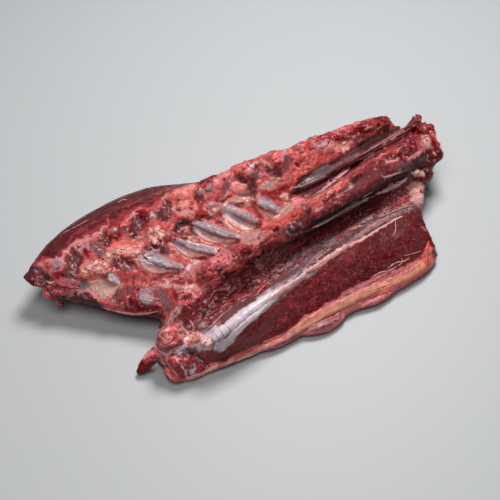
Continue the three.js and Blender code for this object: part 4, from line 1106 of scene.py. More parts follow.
def ball(around=0, along=0, fine=0):
    """A ball to be drawn out into a strand, a sheet or a lump; its vertices carry a tone."""
    bm = bmesh.new()
    bm.verts.layers.float_color.new("tint")
    if fine:
        bmesh.ops.create_icosphere(bm, subdivisions=fine, radius=1.0)
    else:
        bmesh.ops.create_uvsphere(bm, u_segments=around, v_segments=along, radius=1.0)
    return bm


# How a tone breaks up: the share and fineness of the waves that shift it and of those that
# lighten it, and the share of the streaks.
TONE_WAVE = (0.16, 1.3)
LIGHT_WAVES = [(0.2, 1.0), (0.16, 2.3)]
STREAK_SHARE = 0.25
BROAD_PLACE, FINE_PLACE = 5 * MM, 4 * MM


def shade(bm, vert, tones, share, streak=0.0, size=FINE_PLACE):
    """Gives a vertex its tone from a row of tones, share 0 to 1 across them, and breaks it up."""
    place = vert.co / size
    share += TONE_WAVE[0] * noise.noise(place * TONE_WAVE[1]) + STREAK_SHARE * streak
    share = min(max(share, 0), 0.999) * (len(tones) - 1)
    k = int(share)
    colour = tones[k] if len(tones) == 1 else tones[k] + (tones[k + 1] - tones[k]) * (share - k)
    light = 1 + STREAK_SHARE * streak
    light += sum(part * noise.noise(place * fineness) for part, fineness in LIGHT_WAVES)
    vert[bm.verts.layers.float_color["tint"]] = (*np.clip(colour * light, 0, 1), 1)


def sphere_place(vert, along):
    """Where a vertex of a ball lies: which step between its poles, and its way round."""
    x, y, z = vert.co
    ring = math.hypot(x, y)
    step = round(math.acos(max(-1.0, min(1.0, z))) / math.pi * along)
    return (step, x / ring, y / ring) if ring > 1e-4 else (step, 0.0, 0.0)


# How a sheet lies: how fast its ends thin out and sink in, how far its lower side reaches into the
# flesh, the waves of its frayed edge and its streaks, and the sizes of its lumps.
END_SHARPNESS, END_SINKS = 4, 0.35
LIP, ROUND_TOP, UNDERCUT = 0.1, 0.7, 1.2
FRAY_WAVES = (0.45, 2.0)
STREAK_WAVES = [(1.0, 0.10, 7), (0.6, 0.2, 17)]
SHEET_LUMPS = [(1.0, 6 * MM), (0.5, 2.6 * MM)]
EDGE_ROOM = 0.1 * MM


def laid(parts, upper, lower, thick, tones, along=50, ragged=0.15, lumpy=0.3, across=9, settle=2):
    """A closed sheet that lies on the flesh between two lines of the picture, drawn from a ball."""
    bm = ball(2 * across, along)
    made = list(bm.verts)
    top, low = eased(upper, along + 1), eased(lower, along + 1)
    seed = top[0][0] * 0.37 + low[0][1]
    notes = []
    for vert in made:
        step, side, up = sphere_place(vert, along)
        wave = Vector((step * FRAY_WAVES[0], side * FRAY_WAVES[1], seed))
        fray = ragged * abs(side) ** 3 * noise.noise(wave)
        share = 0.5 + 0.5 * side * (1 + 2 * fray)
        place, way = seen(*(top[step] * (1 - share) + low[step] * share))
        streak = sum(part * noise.noise(Vector((step * run, share * cross, seed)))
                     for part, run, cross in STREAK_WAVES)
        whole = min(1.0, END_SHARPNESS * math.sin(math.pi * step / along))
        notes.append((way, up, share, streak, whole))
        vert.co = place
    even_out(bm, made, settle)
    for vert, (way, up, share, streak, whole) in zip(made, notes):
        lumps = 1 + lumpy * sum(part * noise.noise(vert.co / size) for part, size in SHEET_LUMPS)
        height = LIP + (1 - LIP) * up ** ROUND_TOP if up >= 0 else LIP - UNDERCUT * (-up) ** 0.5
        vert.co += way * (height * whole - END_SINKS * (1 - whole)) * thick * MM * lumps
        shade(bm, vert, tones, share, streak, BROAD_PLACE)
    parts.append(solid_mesh(bm, "laid"))


def keep_inside(bm):
    """Holds every vertex within the solid's own box."""
    for vert in bm.verts:
        for k in range(3):
            vert.co[k] = min(max(vert.co[k], solid_box[0][k] + EDGE_ROOM), solid_box[1][k] - EDGE_ROOM)


def set_down(parts, name, material):
    """Joins what was made for a piece, gives it its finish and lets it ride with the whole."""
    bm = bmesh.new()
    for mesh in parts:
        bm.from_mesh(mesh)
        bpy.data.meshes.remove(mesh)
    keep_inside(bm)
    bmesh.ops.recalc_face_normals(bm, faces=bm.faces)
    for face in bm.faces:
        face.smooth = True
    piece = put_in_scene(name, solid_mesh(bm, name))
    piece.data.materials.append(material)
    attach(piece, "root")


# Each rib's upper and lower side.
RIB_BARS = [
    ([(107, 275), (114, 274), (121, 280)], [(109, 281), (114, 283), (120, 284)]),
    ([(138, 256), (143, 252), (153, 253), (162, 257), (172, 261), (185, 267)],
        [(140, 263), (148, 266), (158, 270), (168, 272), (178, 272), (186, 270)]),
    ([(173, 238), (180, 239), (192, 243), (204, 245), (217, 249)],
        [(174, 246), (182, 251), (192, 254), (204, 256), (217, 254)]),
    ([(191, 222), (198, 220), (206, 222), (216, 226), (228, 231), (239, 235)],
        [(193, 230), (200, 236), (212, 241), (224, 243), (238, 240)]),
    ([(224, 207), (230, 206), (238, 210), (248, 215), (257, 220)],
        [(225, 218), (232, 224), (244, 228), (257, 227)]),
    ([(258, 197), (264, 197), (272, 202), (280, 208)], [(260, 208), (266, 214), (273, 217), (280, 215)]),
]
RIB_THICK = 0.2
# Paler towards each bar's lower side: partly the skin's own whitish edge, partly painted light against the
# shade of the rounded bar.
RIB_TONES = [RIB, RIB, SILVER, BONE, CREAM]
ribs = []
for upper, lower in RIB_BARS:
    laid(ribs, upper, lower, RIB_THICK, RIB_TONES, along=40, across=12, ragged=0.35)
RIB_SKIN = finish("rib_skin", grain=900.0, height=0.25, dry=0.55, wet=0.36, coat=0.06, spread=0.12)
set_down(ribs, "ribs", RIB_SKIN)

# THE SILVER SKIN
# A tough bluish-white sheet over the upper edge of the loin. At the left it is thick and ticked
# across; along its lower side runs a cream band, and a thin folded edge curls up where it was cut.
JUMP = 9 * MM
END_FULLNESS, END_LEAST = 1.1, 0.004
STRAND_WAVE = 0.3
STREAK_ALONG, STREAK_ROUND = 3, 2


def drawn(parts, line, half_width, half_height, tones, rise=0.0, along=30, around=10, ends=0.45, rough=0.12):
    """A strand, bar or fold that follows a line of the picture over the flesh, drawn from a ball."""
    spots = eased(line, along + 1)
    both = [seen(*spot[:2]) for spot in spots]
    heights = np.array([spot[2] if len(spot) > 2 else rise for spot in spots])
    centre = np.array([hit + way * height * MM for (hit, way), height in zip(both, heights)])
    if np.linalg.norm(np.diff(centre, axis=0), axis=1).max() > JUMP:
        return
    for _ in range(3):
        centre[1:-1] = centre[1:-1] * 0.5 + (centre[:-2] + centre[2:]) * 0.25
    ways = np.array([way for _, way in both])
    seed = spots[0][0] * 0.7
    bm = ball(around, along)
    for vert in bm.verts:
        step, side, up = sphere_place(vert, along)
        back, front = max(step - 1, 0), min(step + 1, along)
        run = Vector(centre[front] - centre[back]).normalized()
        way = Vector(ways[max(step - 2, 0):step + 3].mean(0)).normalized()
        aside = run.cross(way).normalized()
        share = step / along
        whole = math.sin(math.pi * min(max(share, END_LEAST), 1 - END_LEAST))
        swell = 1 + rough * noise.noise(Vector((step * STRAND_WAVE, side, seed)))
        swell *= min(1.0, whole ** ends * END_FULLNESS)
        vert.co = Vector(centre[step]) + (aside * side * half_width + way * up * half_height) * swell * MM
        streak = noise.noise(Vector((share * STREAK_ALONG, side * STREAK_ROUND, seed + up)))
        shade(bm, vert, tones, 0.5 + 0.5 * side, streak)
    parts.append(solid_mesh(bm, "drawn"))


# Each sheet's upper and lower side, thickness in mm, tones, steps along it and raggedness.
SILVER_SHEETS = [
    ([(209, 338), (217, 329), (227, 321), (237, 313), (249, 305), (260, 299), (272, 291)],
        [(212, 344), (222, 340), (230, 333), (238, 326), (248, 317), (260, 309), (272, 300)],
        1.1, [BONE, SHEEN, SILVER, BONE], 60, 0.25),
    ([(212, 345), (222, 341), (230, 334), (238, 327), (248, 318), (260, 309), (272, 299), (282, 292)],
        [(216, 353), (228, 348), (235, 339), (243, 330), (252, 322), (262, 314), (273, 304), (282, 294)],
        1.2, [BONE, SHEEN, BONE, CREAM], 60, 0.4),
    ([(266, 297), (280, 287), (292, 281), (300, 275), (308, 270)],
        [(269, 305), (280, 297), (290, 291), (299, 284), (308, 276)], 1.2, [BONE, ROSE, TAN], 40, 0.35),
    ([(302, 272), (312, 267), (322, 259), (332, 252), (342, 246), (351, 243)],
        [(303, 274), (315, 271), (326, 264), (336, 257), (345, 251), (352, 245)],
        1.4, [CREAM, TAN, ROSE, PINK], 50, 0.4),
    ([(347, 246), (357, 240), (367, 235), (376, 229), (386, 223), (396, 218), (404, 215)],
        [(348, 249), (358, 243), (368, 238), (377, 232), (387, 226), (397, 220), (404, 216)],
        0.8, [TAN, CREAM, ROSE], 60, 0.8),
    ([(271, 283), (280, 278), (290, 273), (302, 267)], [(273, 289), (282, 285), (292, 280), (304, 273)],
        0.8, [GREY, MAUVE, LILAC], 30, 0.5),
]
TICKS = [
    [(211, 338), (215, 344)], [(215, 334), (220, 341)], [(220, 330), (225, 338)], [(226, 325), (232, 333)],
]
FOLDED_EDGE = [(376, 219), (390, 213), (404, 207), (418, 205)]
silver = []
for sheet in SILVER_SHEETS:
    laid(silver, *sheet)
for tick in TICKS:
    drawn(silver, tick, 0.4, 0.3, [GREY], rise=1.1, along=10, around=6)
drawn(silver, FOLDED_EDGE, 0.7, 0.5, [TAN, ROSE], rise=0.6, along=36, rough=0.6)
SILVER_FINISH = finish("silver_skin", grain=700.0, height=0.25, dry=0.42, wet=0.2, coat=0.3, spread=0.12)
set_down(silver, "silver_skin", SILVER_FINISH)

# THE BACK FAT
# A strip of fat left along the lower edge of the loin: amber in the middle of its length, pinker
# at both ends, thick and rounded, with small lobes hanging from its lower side.
FAT_STRIPS = [
    ([(222, 366), (236, 358), (252, 350), (268, 343), (284, 336), (296, 327)],
        [(226, 369), (240, 363), (256, 356), (272, 348), (286, 342), (300, 335)],
        1.4, [SALMON, CREAM, PINK, MAUVE], 60, 0.4),
    ([(284, 334), (300, 322), (316, 312), (332, 303), (348, 295), (366, 286), (384, 280)],
        [(288, 339), (304, 331), (320, 322), (336, 313), (352, 304), (368, 297), (386, 290)],
        2.0, [PINK, PEACH, AMBER, PEACH, PINK], 70, 0.3),
    ([(364, 287), (382, 281), (398, 275), (412, 268), (422, 258)],
        [(368, 299), (386, 294), (402, 286), (418, 278), (431, 268)],
        2.0, [PINK, AMBER, SALMON, PINK], 56, 0.3),
    ([(304, 328), (316, 322), (330, 317), (342, 311)], [(306, 333), (318, 329), (332, 325), (343, 316)],
        1.6, [PINK, MAUVE, ROSE], 30, 0.5),
]
FAT_TURN = [(426, 268), (427, 258), (426, 250), (429, 241)]
FAT_VEINS = [[(302, 326), (318, 317), (336, 307), (352, 300)], [(360, 294), (376, 289), (392, 283)]]
FAT = finish("back_fat", grain=520.0, height=0.35, dry=0.5, wet=0.3, coat=0.15, bleed=0.15, spread=0.12)
fat = []
for strip in FAT_STRIPS:
    laid(fat, *strip)
drawn(fat, FAT_TURN, 1.8, 1.2, [SALMON, ORANGE, CORAL], rise=0.4, along=36, rough=0.7)
for vein in FAT_VEINS:
    drawn(fat, vein, 0.5, 0.4, [ORANGE, CORAL], rise=1.7, along=40, around=6, rough=0.8)
set_down(fat, "back_fat", FAT)

# THE SAWN EDGE
# Along the far ridge the ribs are sawn off: pink and grey bone ends with dark muscle between,
# salmon fat over them, and at the right a red block of meat.
chance = random.Random(11)
BEDDED = 0.45
BULGES = [(1.0, 1.9), (0.8, 4.3)]


def lump(parts, spot, size, tones, turn=0.0, rough=0.6):
    """A knob or clot bedded in the flesh where the picture shows it; size is length, width, height."""
    bm = ball(fine=3)
    hit, way = seen(*spot)
    run = Vector((math.cos(math.radians(turn)), math.sin(math.radians(turn)), 0))
    run = (run - way * run.dot(way)).normalized()
    aside = way.cross(run)
    corners = Vector((spot[0], spot[1], 0)), Vector((spot[1], spot[0], 0))
    for vert in bm.verts:
        x, y, z = vert.co
        bulge = 1.0
        for (part, waves), corner in zip(BULGES, corners):
            bulge += part * rough * noise.noise(vert.co * waves + corner)
        bedded = (z - BEDDED) * size[2]
        vert.co = hit + (run * x * size[0] + aside * y * size[1] + way * bedded) * bulge * MM
        shade(bm, vert, tones, 0.5 + 0.5 * z)
    parts.append(solid_mesh(bm, "lump"))


PLACES_ALONG = 200
SHRED_REACH, SHRED_WIDTH, SHRED_HEIGHT = (0.6, 1.7), (0.4, 0.8), (0.2, 0.35)
SHRED_TURN, SHRED_BEND, SHRED_SWAY, SHRED_DIPS = 50, 0.3, 0.2, -0.5


def scatter(parts, line, spread, count, sizes, tones, slant=30):
    """Short torn shreds and crumbs strewn at random along a line of the picture."""
    spots = eased(line, PLACES_ALONG)
    for _ in range(count):
        u, v = spots[chance.randrange(PLACES_ALONG)]
        u, v = u + chance.gauss(0, spread), v + chance.gauss(0, spread)
        size = chance.uniform(*sizes)
        turn = math.radians(slant + chance.gauss(0, SHRED_TURN))
        reach = size * chance.uniform(*SHRED_REACH)
        du, dv = math.cos(turn) * reach, -math.sin(turn) * reach
        bend = chance.gauss(0, SHRED_BEND) * reach
        middle = (u - dv * SHRED_SWAY + bend, v + bend, 0.0)
        path = [(u - du, v - dv, SHRED_DIPS), middle, (u + du, v + dv, SHRED_DIPS)]
        width, height = size * chance.uniform(*SHRED_WIDTH), size * chance.uniform(*SHRED_HEIGHT)
        drawn(parts, path, width, height, chance.choice(tones), along=9, around=7, ends=0.6, rough=1.0)


# Each knob's place, its length, width and height in mm, its tones from below up, and its turn.
SAWN_KNOBS = [
    ((59, 266), (3.4, 2.6, 2), [CRIMSON, LILAC], 30), ((48, 266), (3, 2.4, 1.6), [CORAL, ORANGE], 0),
    ((80, 244), (5, 3, 2), [PINK, ROSE], 20), ((113, 231), (5, 4, 3), [BLOOD, CRIMSON, PINK], 0),
    ((115, 230), (2.4, 2.0, 3.4), [LILAC, BONE], 0), ((143, 213), (5, 4, 2.6), [BLOOD, CRIMSON], 30),
    ((152, 216), (2.6, 2.0, 1.6), [ROSE, BONE], 0), ((184, 205), (8, 6, 2.4), [CORAL, SALMON, PEACH], 0),
    ((199, 194), (4, 5, 2.6), [MAROON, MAUVE], 60), ((209, 188), (5, 4, 2.6), [MAROON, MAUVE, LILAC], 10),
    ((211, 205), (3.6, 2.8, 2.4), [LILAC, ROSE], 0), ((252, 167), (3.4, 3.4, 3.6), [PINK, ROSE, BONE], 0),
    ((238, 170), (7, 4, 2), [CORAL, SALMON], 10), ((276, 158), (5, 3, 2), [CORAL, SALMON], 0),
    ((284, 155), (2.4, 3.4, 2), [PINK, ROSE], 0), ((304, 156), (6, 4, 2), [CORAL, SALMON], 10),
    ((323, 146), (6, 3, 2), [PINK, ROSE], 0), ((344, 143), (4, 3, 2), [PEACH, CREAM], 0),
    ((361, 141), (5, 3, 1.8), [MAROON, MAUVE], 20), ((384, 120), (4, 4, 2.4), [BLOOD, FIBRE], 0),
]
RIDGE = [(42, 266), (75, 250), (112, 232), (150, 214), (190, 200), (230, 178), (270, 162), (310, 150)]
RED_BLOCK = [(315, 142), (345, 133), (378, 122)]
# Each row of shreds: the line that they follow, how far off it they lie, how many, their sizes in
# mm, and the tones that they are drawn in.
SAWN_SHREDS = [
    (RIDGE, 7, 110, (1.2, 2.8),
        [[RED, CORAL], [MAROON, FIBRE], [CORAL, SALMON], [PINK, ROSE], [BLOOD, RED]]),
    (RED_BLOCK, 4, 50, (1.2, 2.6), [[RED, CORAL], [BLOOD, RED], [PINK, ROSE]]),
]
sawn = []
for knob in SAWN_KNOBS:
    lump(sawn, *knob)
for shreds in SAWN_SHREDS:
    scatter(sawn, *shreds)
set_down(sawn, "sawn_rib_ends", finish("sawn_bone", grain=600.0, height=0.6, spread=0.2))

# THE FAT OF THE CHEST WALL
# Crumbly cream and pink lobes of fat and connective tissue, grown to the wall between the sawn
# edge and the ribs, with wedges of smoother cream fat along the ribs' lower sides.
FAT_LOBES = [
    ((90, 268), 4.5), ((99, 271), 4.5), ((105, 265), 4), ((96, 263), 3.6), ((151, 231), 3.6),
    ((157, 229), 4), ((161, 236), 4.4), ((155, 241), 4), ((118, 251), 4), ((129, 249), 4.6),
    ((137, 252), 4), ((108, 256), 3.6), ((284, 196), 2.6), ((225, 205), 3), ((244, 199), 3),
]
LOBE_WIDTH, LOBE_HEIGHT, LOBE_ROUGH = 0.8, 0.4, 0.9
FAT_CRUMBS = [
    ([(84, 272), (100, 266), (120, 254), (150, 236), (166, 230)], 6, 90, (1.2, 2.8),
        [[SALMON, PEACH], [PEACH, CREAM], [PINK, ROSE], [MAROON, RED]]),
    ([(112, 266), (130, 266), (150, 250), (172, 236), (186, 230), (196, 214)], 3, 70, (1.2, 2.8),
        [[MAROON, RED], [RED, CORAL], [BLOOD, FIBRE], [PINK, ROSE]]),
]
RIB_WEDGES = [
    ([(138, 258), (148, 261), (158, 266), (169, 270)], [(141, 267), (149, 273), (158, 275), (169, 272)]),
    ([(173, 241), (182, 246), (192, 250), (206, 254)], [(175, 249), (184, 257), (193, 259), (206, 256)]),
    ([(192, 225), (202, 231), (212, 235), (228, 240)], [(195, 234), (204, 241), (214, 245), (228, 242)]),
    ([(225, 213), (234, 218), (244, 222), (258, 226)], [(227, 223), (236, 229), (246, 232), (258, 228)]),
    ([(260, 203), (266, 208), (273, 212), (281, 214)], [(263, 212), (268, 218), (275, 221), (281, 216)]),
]
WEDGE_THICK = 1.3
WEDGE_TONES = [SILVER, BONE, CREAM, CREAM, PEACH]
lobes = []
for spot, size in FAT_LOBES:
    lobe = (size, size * LOBE_WIDTH, size * LOBE_HEIGHT)
    lump(lobes, spot, lobe, [SALMON, PEACH, CREAM], chance.uniform(0, 180), LOBE_ROUGH)
for crumbs in FAT_CRUMBS:
    scatter(lobes, *crumbs)
for upper, lower in RIB_WEDGES:
    laid(lobes, upper, lower, WEDGE_THICK, WEDGE_TONES, along=40, across=12, ragged=0.5, settle=8)
set_down(lobes, "chest_fat", FAT)

# THE TORN FASCIA
# Pale threads of connective tissue where the ribs meet the chine, and fine hairs of it along the
# sawn edge. They are torn from the sheets that wrap the muscles, and cling to the wet fat.
HAIR_TURN, HAIR_BEND, HAIR_SWAY = 40, 0.35, 0.4
HAIR_REACH, HAIR_THICK = (0.4, 1.2), (0.7, 1.5)
HAIR_DIPS, HAIR_TIP = -0.3, 0.1


def hairs(parts, line, spread, count, length, slant, tones, thick=0.3, lift=1.0):
    """Fine fibres and shreds of membrane that stand off the surface along a line of the picture."""
    spots = eased(line, PLACES_ALONG)
    for _ in range(count):
        u, v = spots[chance.randrange(PLACES_ALONG)]
        u, v = u + chance.gauss(0, spread), v + chance.gauss(0, spread)
        turn = math.radians(slant + chance.gauss(0, HAIR_TURN))
        reach = length * chance.uniform(*HAIR_REACH)
        bend = chance.gauss(0, HAIR_BEND) * reach
        du, dv = math.cos(turn) * reach, -math.sin(turn) * reach
        middle = (u + du / 2 + bend * HAIR_SWAY, v + dv / 2 + bend, lift)
        path = [(u, v, HAIR_DIPS), middle, (u + du, v + dv, HAIR_TIP)]
        width = thick * chance.uniform(*HAIR_THICK)
        drawn(parts, path, width, thick, chance.choice(tones), along=10, around=5, ends=0.3)


FASCIA_LINES = [
    [(162, 278), (172, 274), (184, 267)], [(168, 280), (178, 277), (190, 271)],
    [(174, 283), (184, 280), (198, 277)], [(186, 270), (192, 276), (196, 280)],
    [(188, 262), (194, 268), (204, 272)], [(165, 257), (172, 263), (176, 270)],
    [(216, 214), (222, 220), (228, 227)], [(218, 219), (224, 222), (226, 229)],
    [(243, 243), (252, 241), (260, 233)], [(246, 246), (256, 244), (263, 238)],
    [(70, 272), (75, 276), (80, 274)], [(110, 228), (113, 234), (118, 237)],
]
RIB_ROOTS = [(160, 268), (176, 274), (196, 276)]
# Each row of hairs: the line that they follow, how far off it they stand, how many, their length
# and slant, the tones that they are drawn in, their thickness and how far they stand up.
FASCIA_HAIRS = [
    (RIB_ROOTS, 4, 16, 5, 30, [[TAN], [CREAM], [ROSE]], 0.25),
    (RIDGE, 6, 60, 3, 30, [[ROSE], [PINK], [MAUVE]], 0.22, 0.4),
]
fascia = []
for line in FASCIA_LINES:
    drawn(fascia, line, 0.6, 0.3, [TAN, PINK, ROSE], rise=0.3, along=20, around=6, ends=0.3, rough=0.6)
for row in FASCIA_HAIRS:
    hairs(fascia, *row)
set_down(fascia, "fascia_threads", finish("fascia", grain=700.0, height=0.2, dry=0.5, wet=0.3, spread=0.1))

# THE CHEST WALL'S LEFT END
# The thin end of the wall hangs clear of the bench: red muscle across it, a bluish oval of
# cartilage, a grey strip, a pale rolled rim below, and torn dark rags at the far left.

# Each rag's line, half width and half height in mm, and tones.
RAG_LINES = [
    ([(127, 277), (125, 290), (129, 308)], 1.2, 0.5, [RED, CORAL]),
    ([(134, 274), (133, 290), (137, 309)], 1.0, 0.5, [RED, FIBRE]),
    ([(121, 284), (115, 294), (109, 302)], 0.7, 0.4, [RED, PINK]),
    ([(66, 300), (80, 297), (92, 296), (104, 304)], 1.2, 1.0, [PINK, CREAM, PINK]),
    ([(104, 308), (118, 311), (130, 314), (146, 314), (158, 311)], 1.4, 1.0, [PINK, CREAM, PINK]),
    ([(178, 307), (172, 316), (167, 326)], 1.6, 0.8, [TAN, ROSE]),
    ([(44, 284), (50, 291), (58, 299)], 1.6, 1.0, [MAROON, FIBRE]),
    ([(54, 282), (66, 286), (80, 288)], 1.6, 1.0, [FIBRE, PINK]),
    ([(47, 281), (51, 284), (55, 281)], 0.8, 0.6, [CREAM, BONE]),
    ([(27, 272), (31, 272), (37, 274)], 1.2, 1.0, [DARK, BLOOD]),
]
CARTILAGE = [
    ([(140, 292), (146, 289), (153, 294)], [(141, 299), (146, 303), (153, 301)],
        0.5, [MAUVE, LILAC, RIB], 26),
    ([(158, 288), (164, 296), (171, 308)], [(157, 294), (162, 304), (168, 313)],
        0.8, [GREY, MAUVE, GREY], 26),
]
TORN_RAGS = [
    ([(36, 280), (46, 290), (58, 300), (72, 298)], 4, 70, (1.4, 3.2),
        [[DARK, FIBRE], [DARK, MAUVE], [RED, PINK], [GREY, TAN]]),
    ([(100, 302), (124, 300), (150, 302), (176, 296), (198, 294)], 6, 50, (1.2, 2.4),
        [[RED, CORAL], [BLOOD, RED], [PINK, ROSE], [CORAL, SALMON]]),
]
RAG_EDGE = [(34, 276), (44, 292), (58, 304), (74, 300)]
RAG_HAIRS = (RAG_EDGE, 3, 30, 6, -60, [[DARK], [PINK], [TAN], [BLOOD]], 0.4)
rags = []
for line, width, height, tones in RAG_LINES:
    drawn(rags, line, width, height, tones, rise=0.4, ends=0.4, rough=0.8)
for sheet in CARTILAGE:
    laid(rags, *sheet)
for row in TORN_RAGS:
    scatter(rags, *row)
hairs(rags, *RAG_HAIRS)
set_down(rags, "chest_wall_end", MEAT)

# THE CHINE
# The backbone's knuckles, scraped and torn, run along the near ridge under coral-red shreds of
# meat. Past the middle a red roll of muscle covers them, and cartilage shows at the cut end.
CREST = [(176, 290), (192, 282), (225, 264), (262, 244), (300, 216), (344, 188)]
CUT_TIP = [(392, 152), (410, 146), (428, 142), (438, 156)]
ROLL_LINE = [(330, 206), (356, 194), (384, 180), (408, 168)]
KNUCKLES = [
    ((293, 228), (6, 5, 3.4), [MAUVE, DULL, TAN], 0), ((301, 232), (4, 4, 2.6), [MAROON, MAUVE], 0),
    ((308, 209), (4, 4, 2), [MAUVE, FIBRE], 0), ((180, 292), (5, 4, 2.4), [RED, CORAL, PINK], 20),
    ((210, 276), (5, 4, 2.4), [RED, CORAL], 0), ((234, 266), (5, 4, 2.4), [CORAL, SALMON], 10),
    ((272, 240), (6, 3, 2), [CORAL, SALMON], 10), ((294, 214), (6, 4, 2.4), [CORAL, ORANGE], 20),
    ((330, 193), (8, 3, 2.4), [CORAL, SALMON, PEACH], 20), ((408, 146), (6, 5, 3), [BLOOD, FIBRE], 0),
    ((396, 152), (6, 4, 2.4), [RED, CORAL], 0), ((426, 136), (3.2, 3, 2), [PINK, TAN], 0),
    ((429, 146), (3, 3.4, 2), [PINK, TAN], 0), ((439, 153), (4, 5, 3), [BLOOD, MAROON], 0),
    ((428, 172), (4, 5, 3), [DARK, BLOOD], 0), ((417, 173), (4, 2, 1.4), [TAN, CREAM], 0),
    ((414, 158), (4, 2, 1.4), [PINK, ROSE], 0), ((419, 121), (7, 5, 5), [BLOOD, FIBRE, RED], 40),
    ((424, 129), (8, 6, 5), [BLOOD, RED, FIBRE], 60), ((415, 128), (7, 5, 4), [MAROON, BLOOD], 40),
    ((430, 127), (6, 5, 3), [CRIMSON, FIBRE], 0),
]
KNUCKLE_ROUGH = 0.9
CHINE_SHREDS = [
    (CREST, 8, 190, (1.2, 3.2),
        [[RED, CORAL], [CORAL, SALMON], [BLOOD, RED], [MAROON, FIBRE], [PINK, ROSE], [RED, PINK]]),
    (CUT_TIP, 6, 60, (1.2, 2.8), [[BLOOD, RED], [RED, PINK], [PINK, ROSE], [CORAL, SALMON]]),
]
CHINE_HAIRS = [
    (CREST, 7, 110, 4, 35, [[PINK], [MAUVE], [ROSE], [BLOOD]], 0.25, 0.5),
    (ROLL_LINE, 5, 40, 7, 35, [[FIBRE], [CORAL], [MAUVE]], 0.3),
]
chine = []
for spot, size, tones, turn in KNUCKLES:
    lump(chine, spot, size, tones, turn, KNUCKLE_ROUGH)
for row in CHINE_SHREDS:
    scatter(chine, *row)
for row in CHINE_HAIRS:
    hairs(chine, *row)
set_down(chine, "chine_knuckles", finish("scraped_chine", grain=500.0, height=0.6, spread=0.24))

# THE MUSCLES IN THE TROUGH
# Past the last rib, long glossy strips of muscle and grey membrane lie side by side between the
# chine and the sawn edge; one runs out over the cut end in a dark point.
STRIPS = [
    ([(292, 198), (310, 190), (332, 179), (352, 166)], 1.6, 1.0, [MAROON, FIBRE, MAROON]),
    ([(298, 191), (318, 181), (340, 170)], 1.2, 0.8, [GREY, MAUVE]),
    ([(312, 197), (330, 185), (351, 168)], 0.6, 0.5, [ROSE, BONE]),
    ([(336, 171), (356, 159), (380, 145)], 1.4, 1.0, [DARK, MAROON]),
    ([(350, 162), (372, 149), (392, 136), (412, 125)], 1.2, 0.8, [MAUVE, TAN, DARK]),
    ([(372, 152), (392, 142), (410, 132)], 1.4, 1.0, [DARK, RED]),
    ([(300, 187), (312, 182), (326, 175)], 0.4, 0.4, [TAN, BONE]),
    ([(396, 133), (408, 127), (418, 119)], 1.6, 1.0, [MAUVE, BLOOD]),
]
TROUGH_LINE = [(306, 190), (340, 170), (376, 148), (408, 130)]
TROUGH_HAIRS = (TROUGH_LINE, 4, 40, 5, 30, [[MAUVE], [TAN], [GREY]], 0.22, 0.4)
strips = []
for line, width, height, tones in STRIPS:
    drawn(strips, line, width, height, tones, rise=0.3, along=44, ends=0.3, rough=0.5)
hairs(strips, *TROUGH_HAIRS)
set_down(strips, "trough_muscles", finish("wet_strip", grain=500.0, height=0.5, dry=0.5, wet=0.28, coat=0.12))

# THE GUTTER
# The deep groove between the chine and the loin is full of dark ragged meat: torn ropes of
# muscle that lie along it, crumbs of meat and membrane over them, and hairs that stand up.
GROOVE = [(206, 310), (236, 290), (262, 276), (292, 258), (322, 238), (352, 220), (380, 204), (408, 192)]
GROOVE_STEPS = 100
ROPES = 46
ROPE_STEPS = (6, 16)
ROPE_WIDTH, ROPE_HEIGHT = (0.9, 2.4), (0.7, 1.6)
ROPE_TONES = [[DARK, WET], [WET, RED], [DARK, FIBRE], [MAUVE, WET], [WET, BLOOD]]
ALONG_GROOVE, OFF_GROOVE = 2, 7
START_STRAYS, MIDDLE_STRAYS = (2, 2), (3, 4)
GUTTER_SHREDS = [
    (GROOVE, 8, 110, (1.2, 3.0),
        [[WET, RED], [DARK, MAUVE], [WET, DARK], [BLOOD, RED], [MAROON, FIBRE]]),
    (GROOVE, 6, 210, (0.8, 1.8), [[MAUVE, TAN], [GREY, TAN], [MAUVE, GREY], [PINK, ROSE]], 60),
]
GUTTER_HAIRS = (GROOVE, 7, 160, 4, 25, [[TAN], [MAUVE], [FIBRE], [PINK], [GREY]], 0.25, 1.0)


def strayed(spot, reach):
    """A spot in the picture moved off at random, by about reach across and down."""
    return spot + np.array([chance.gauss(0, part) for part in reach])


gutter = []
groove = eased(GROOVE, GROOVE_STEPS)
for _ in range(ROPES):
    start = chance.randrange(0, GROOVE_STEPS - ROPE_STEPS[1])
    stop = min(GROOVE_STEPS - 1, start + chance.randrange(*ROPE_STEPS))
    shift = strayed(np.zeros(2), (ALONG_GROOVE, OFF_GROOVE))
    middle = strayed(groove[(start + stop) // 2] + shift, MIDDLE_STRAYS)
    line = [strayed(groove[start] + shift, START_STRAYS), middle, groove[stop] + shift]
    width, height = chance.uniform(*ROPE_WIDTH), chance.uniform(*ROPE_HEIGHT)
    drawn(gutter, line, width, height, chance.choice(ROPE_TONES), along=20, around=8, rough=0.9)
for row in GUTTER_SHREDS:
    scatter(gutter, *row)
hairs(gutter, *GUTTER_HAIRS)
set_down(gutter, "gutter_meat", MEAT)

# THE FILMS IN THE GUTTER
# Wet films and strands of membrane, most of them under a millimetre thick, that cling to the torn
# meat. Two pale ones bridge the gutter at the right.

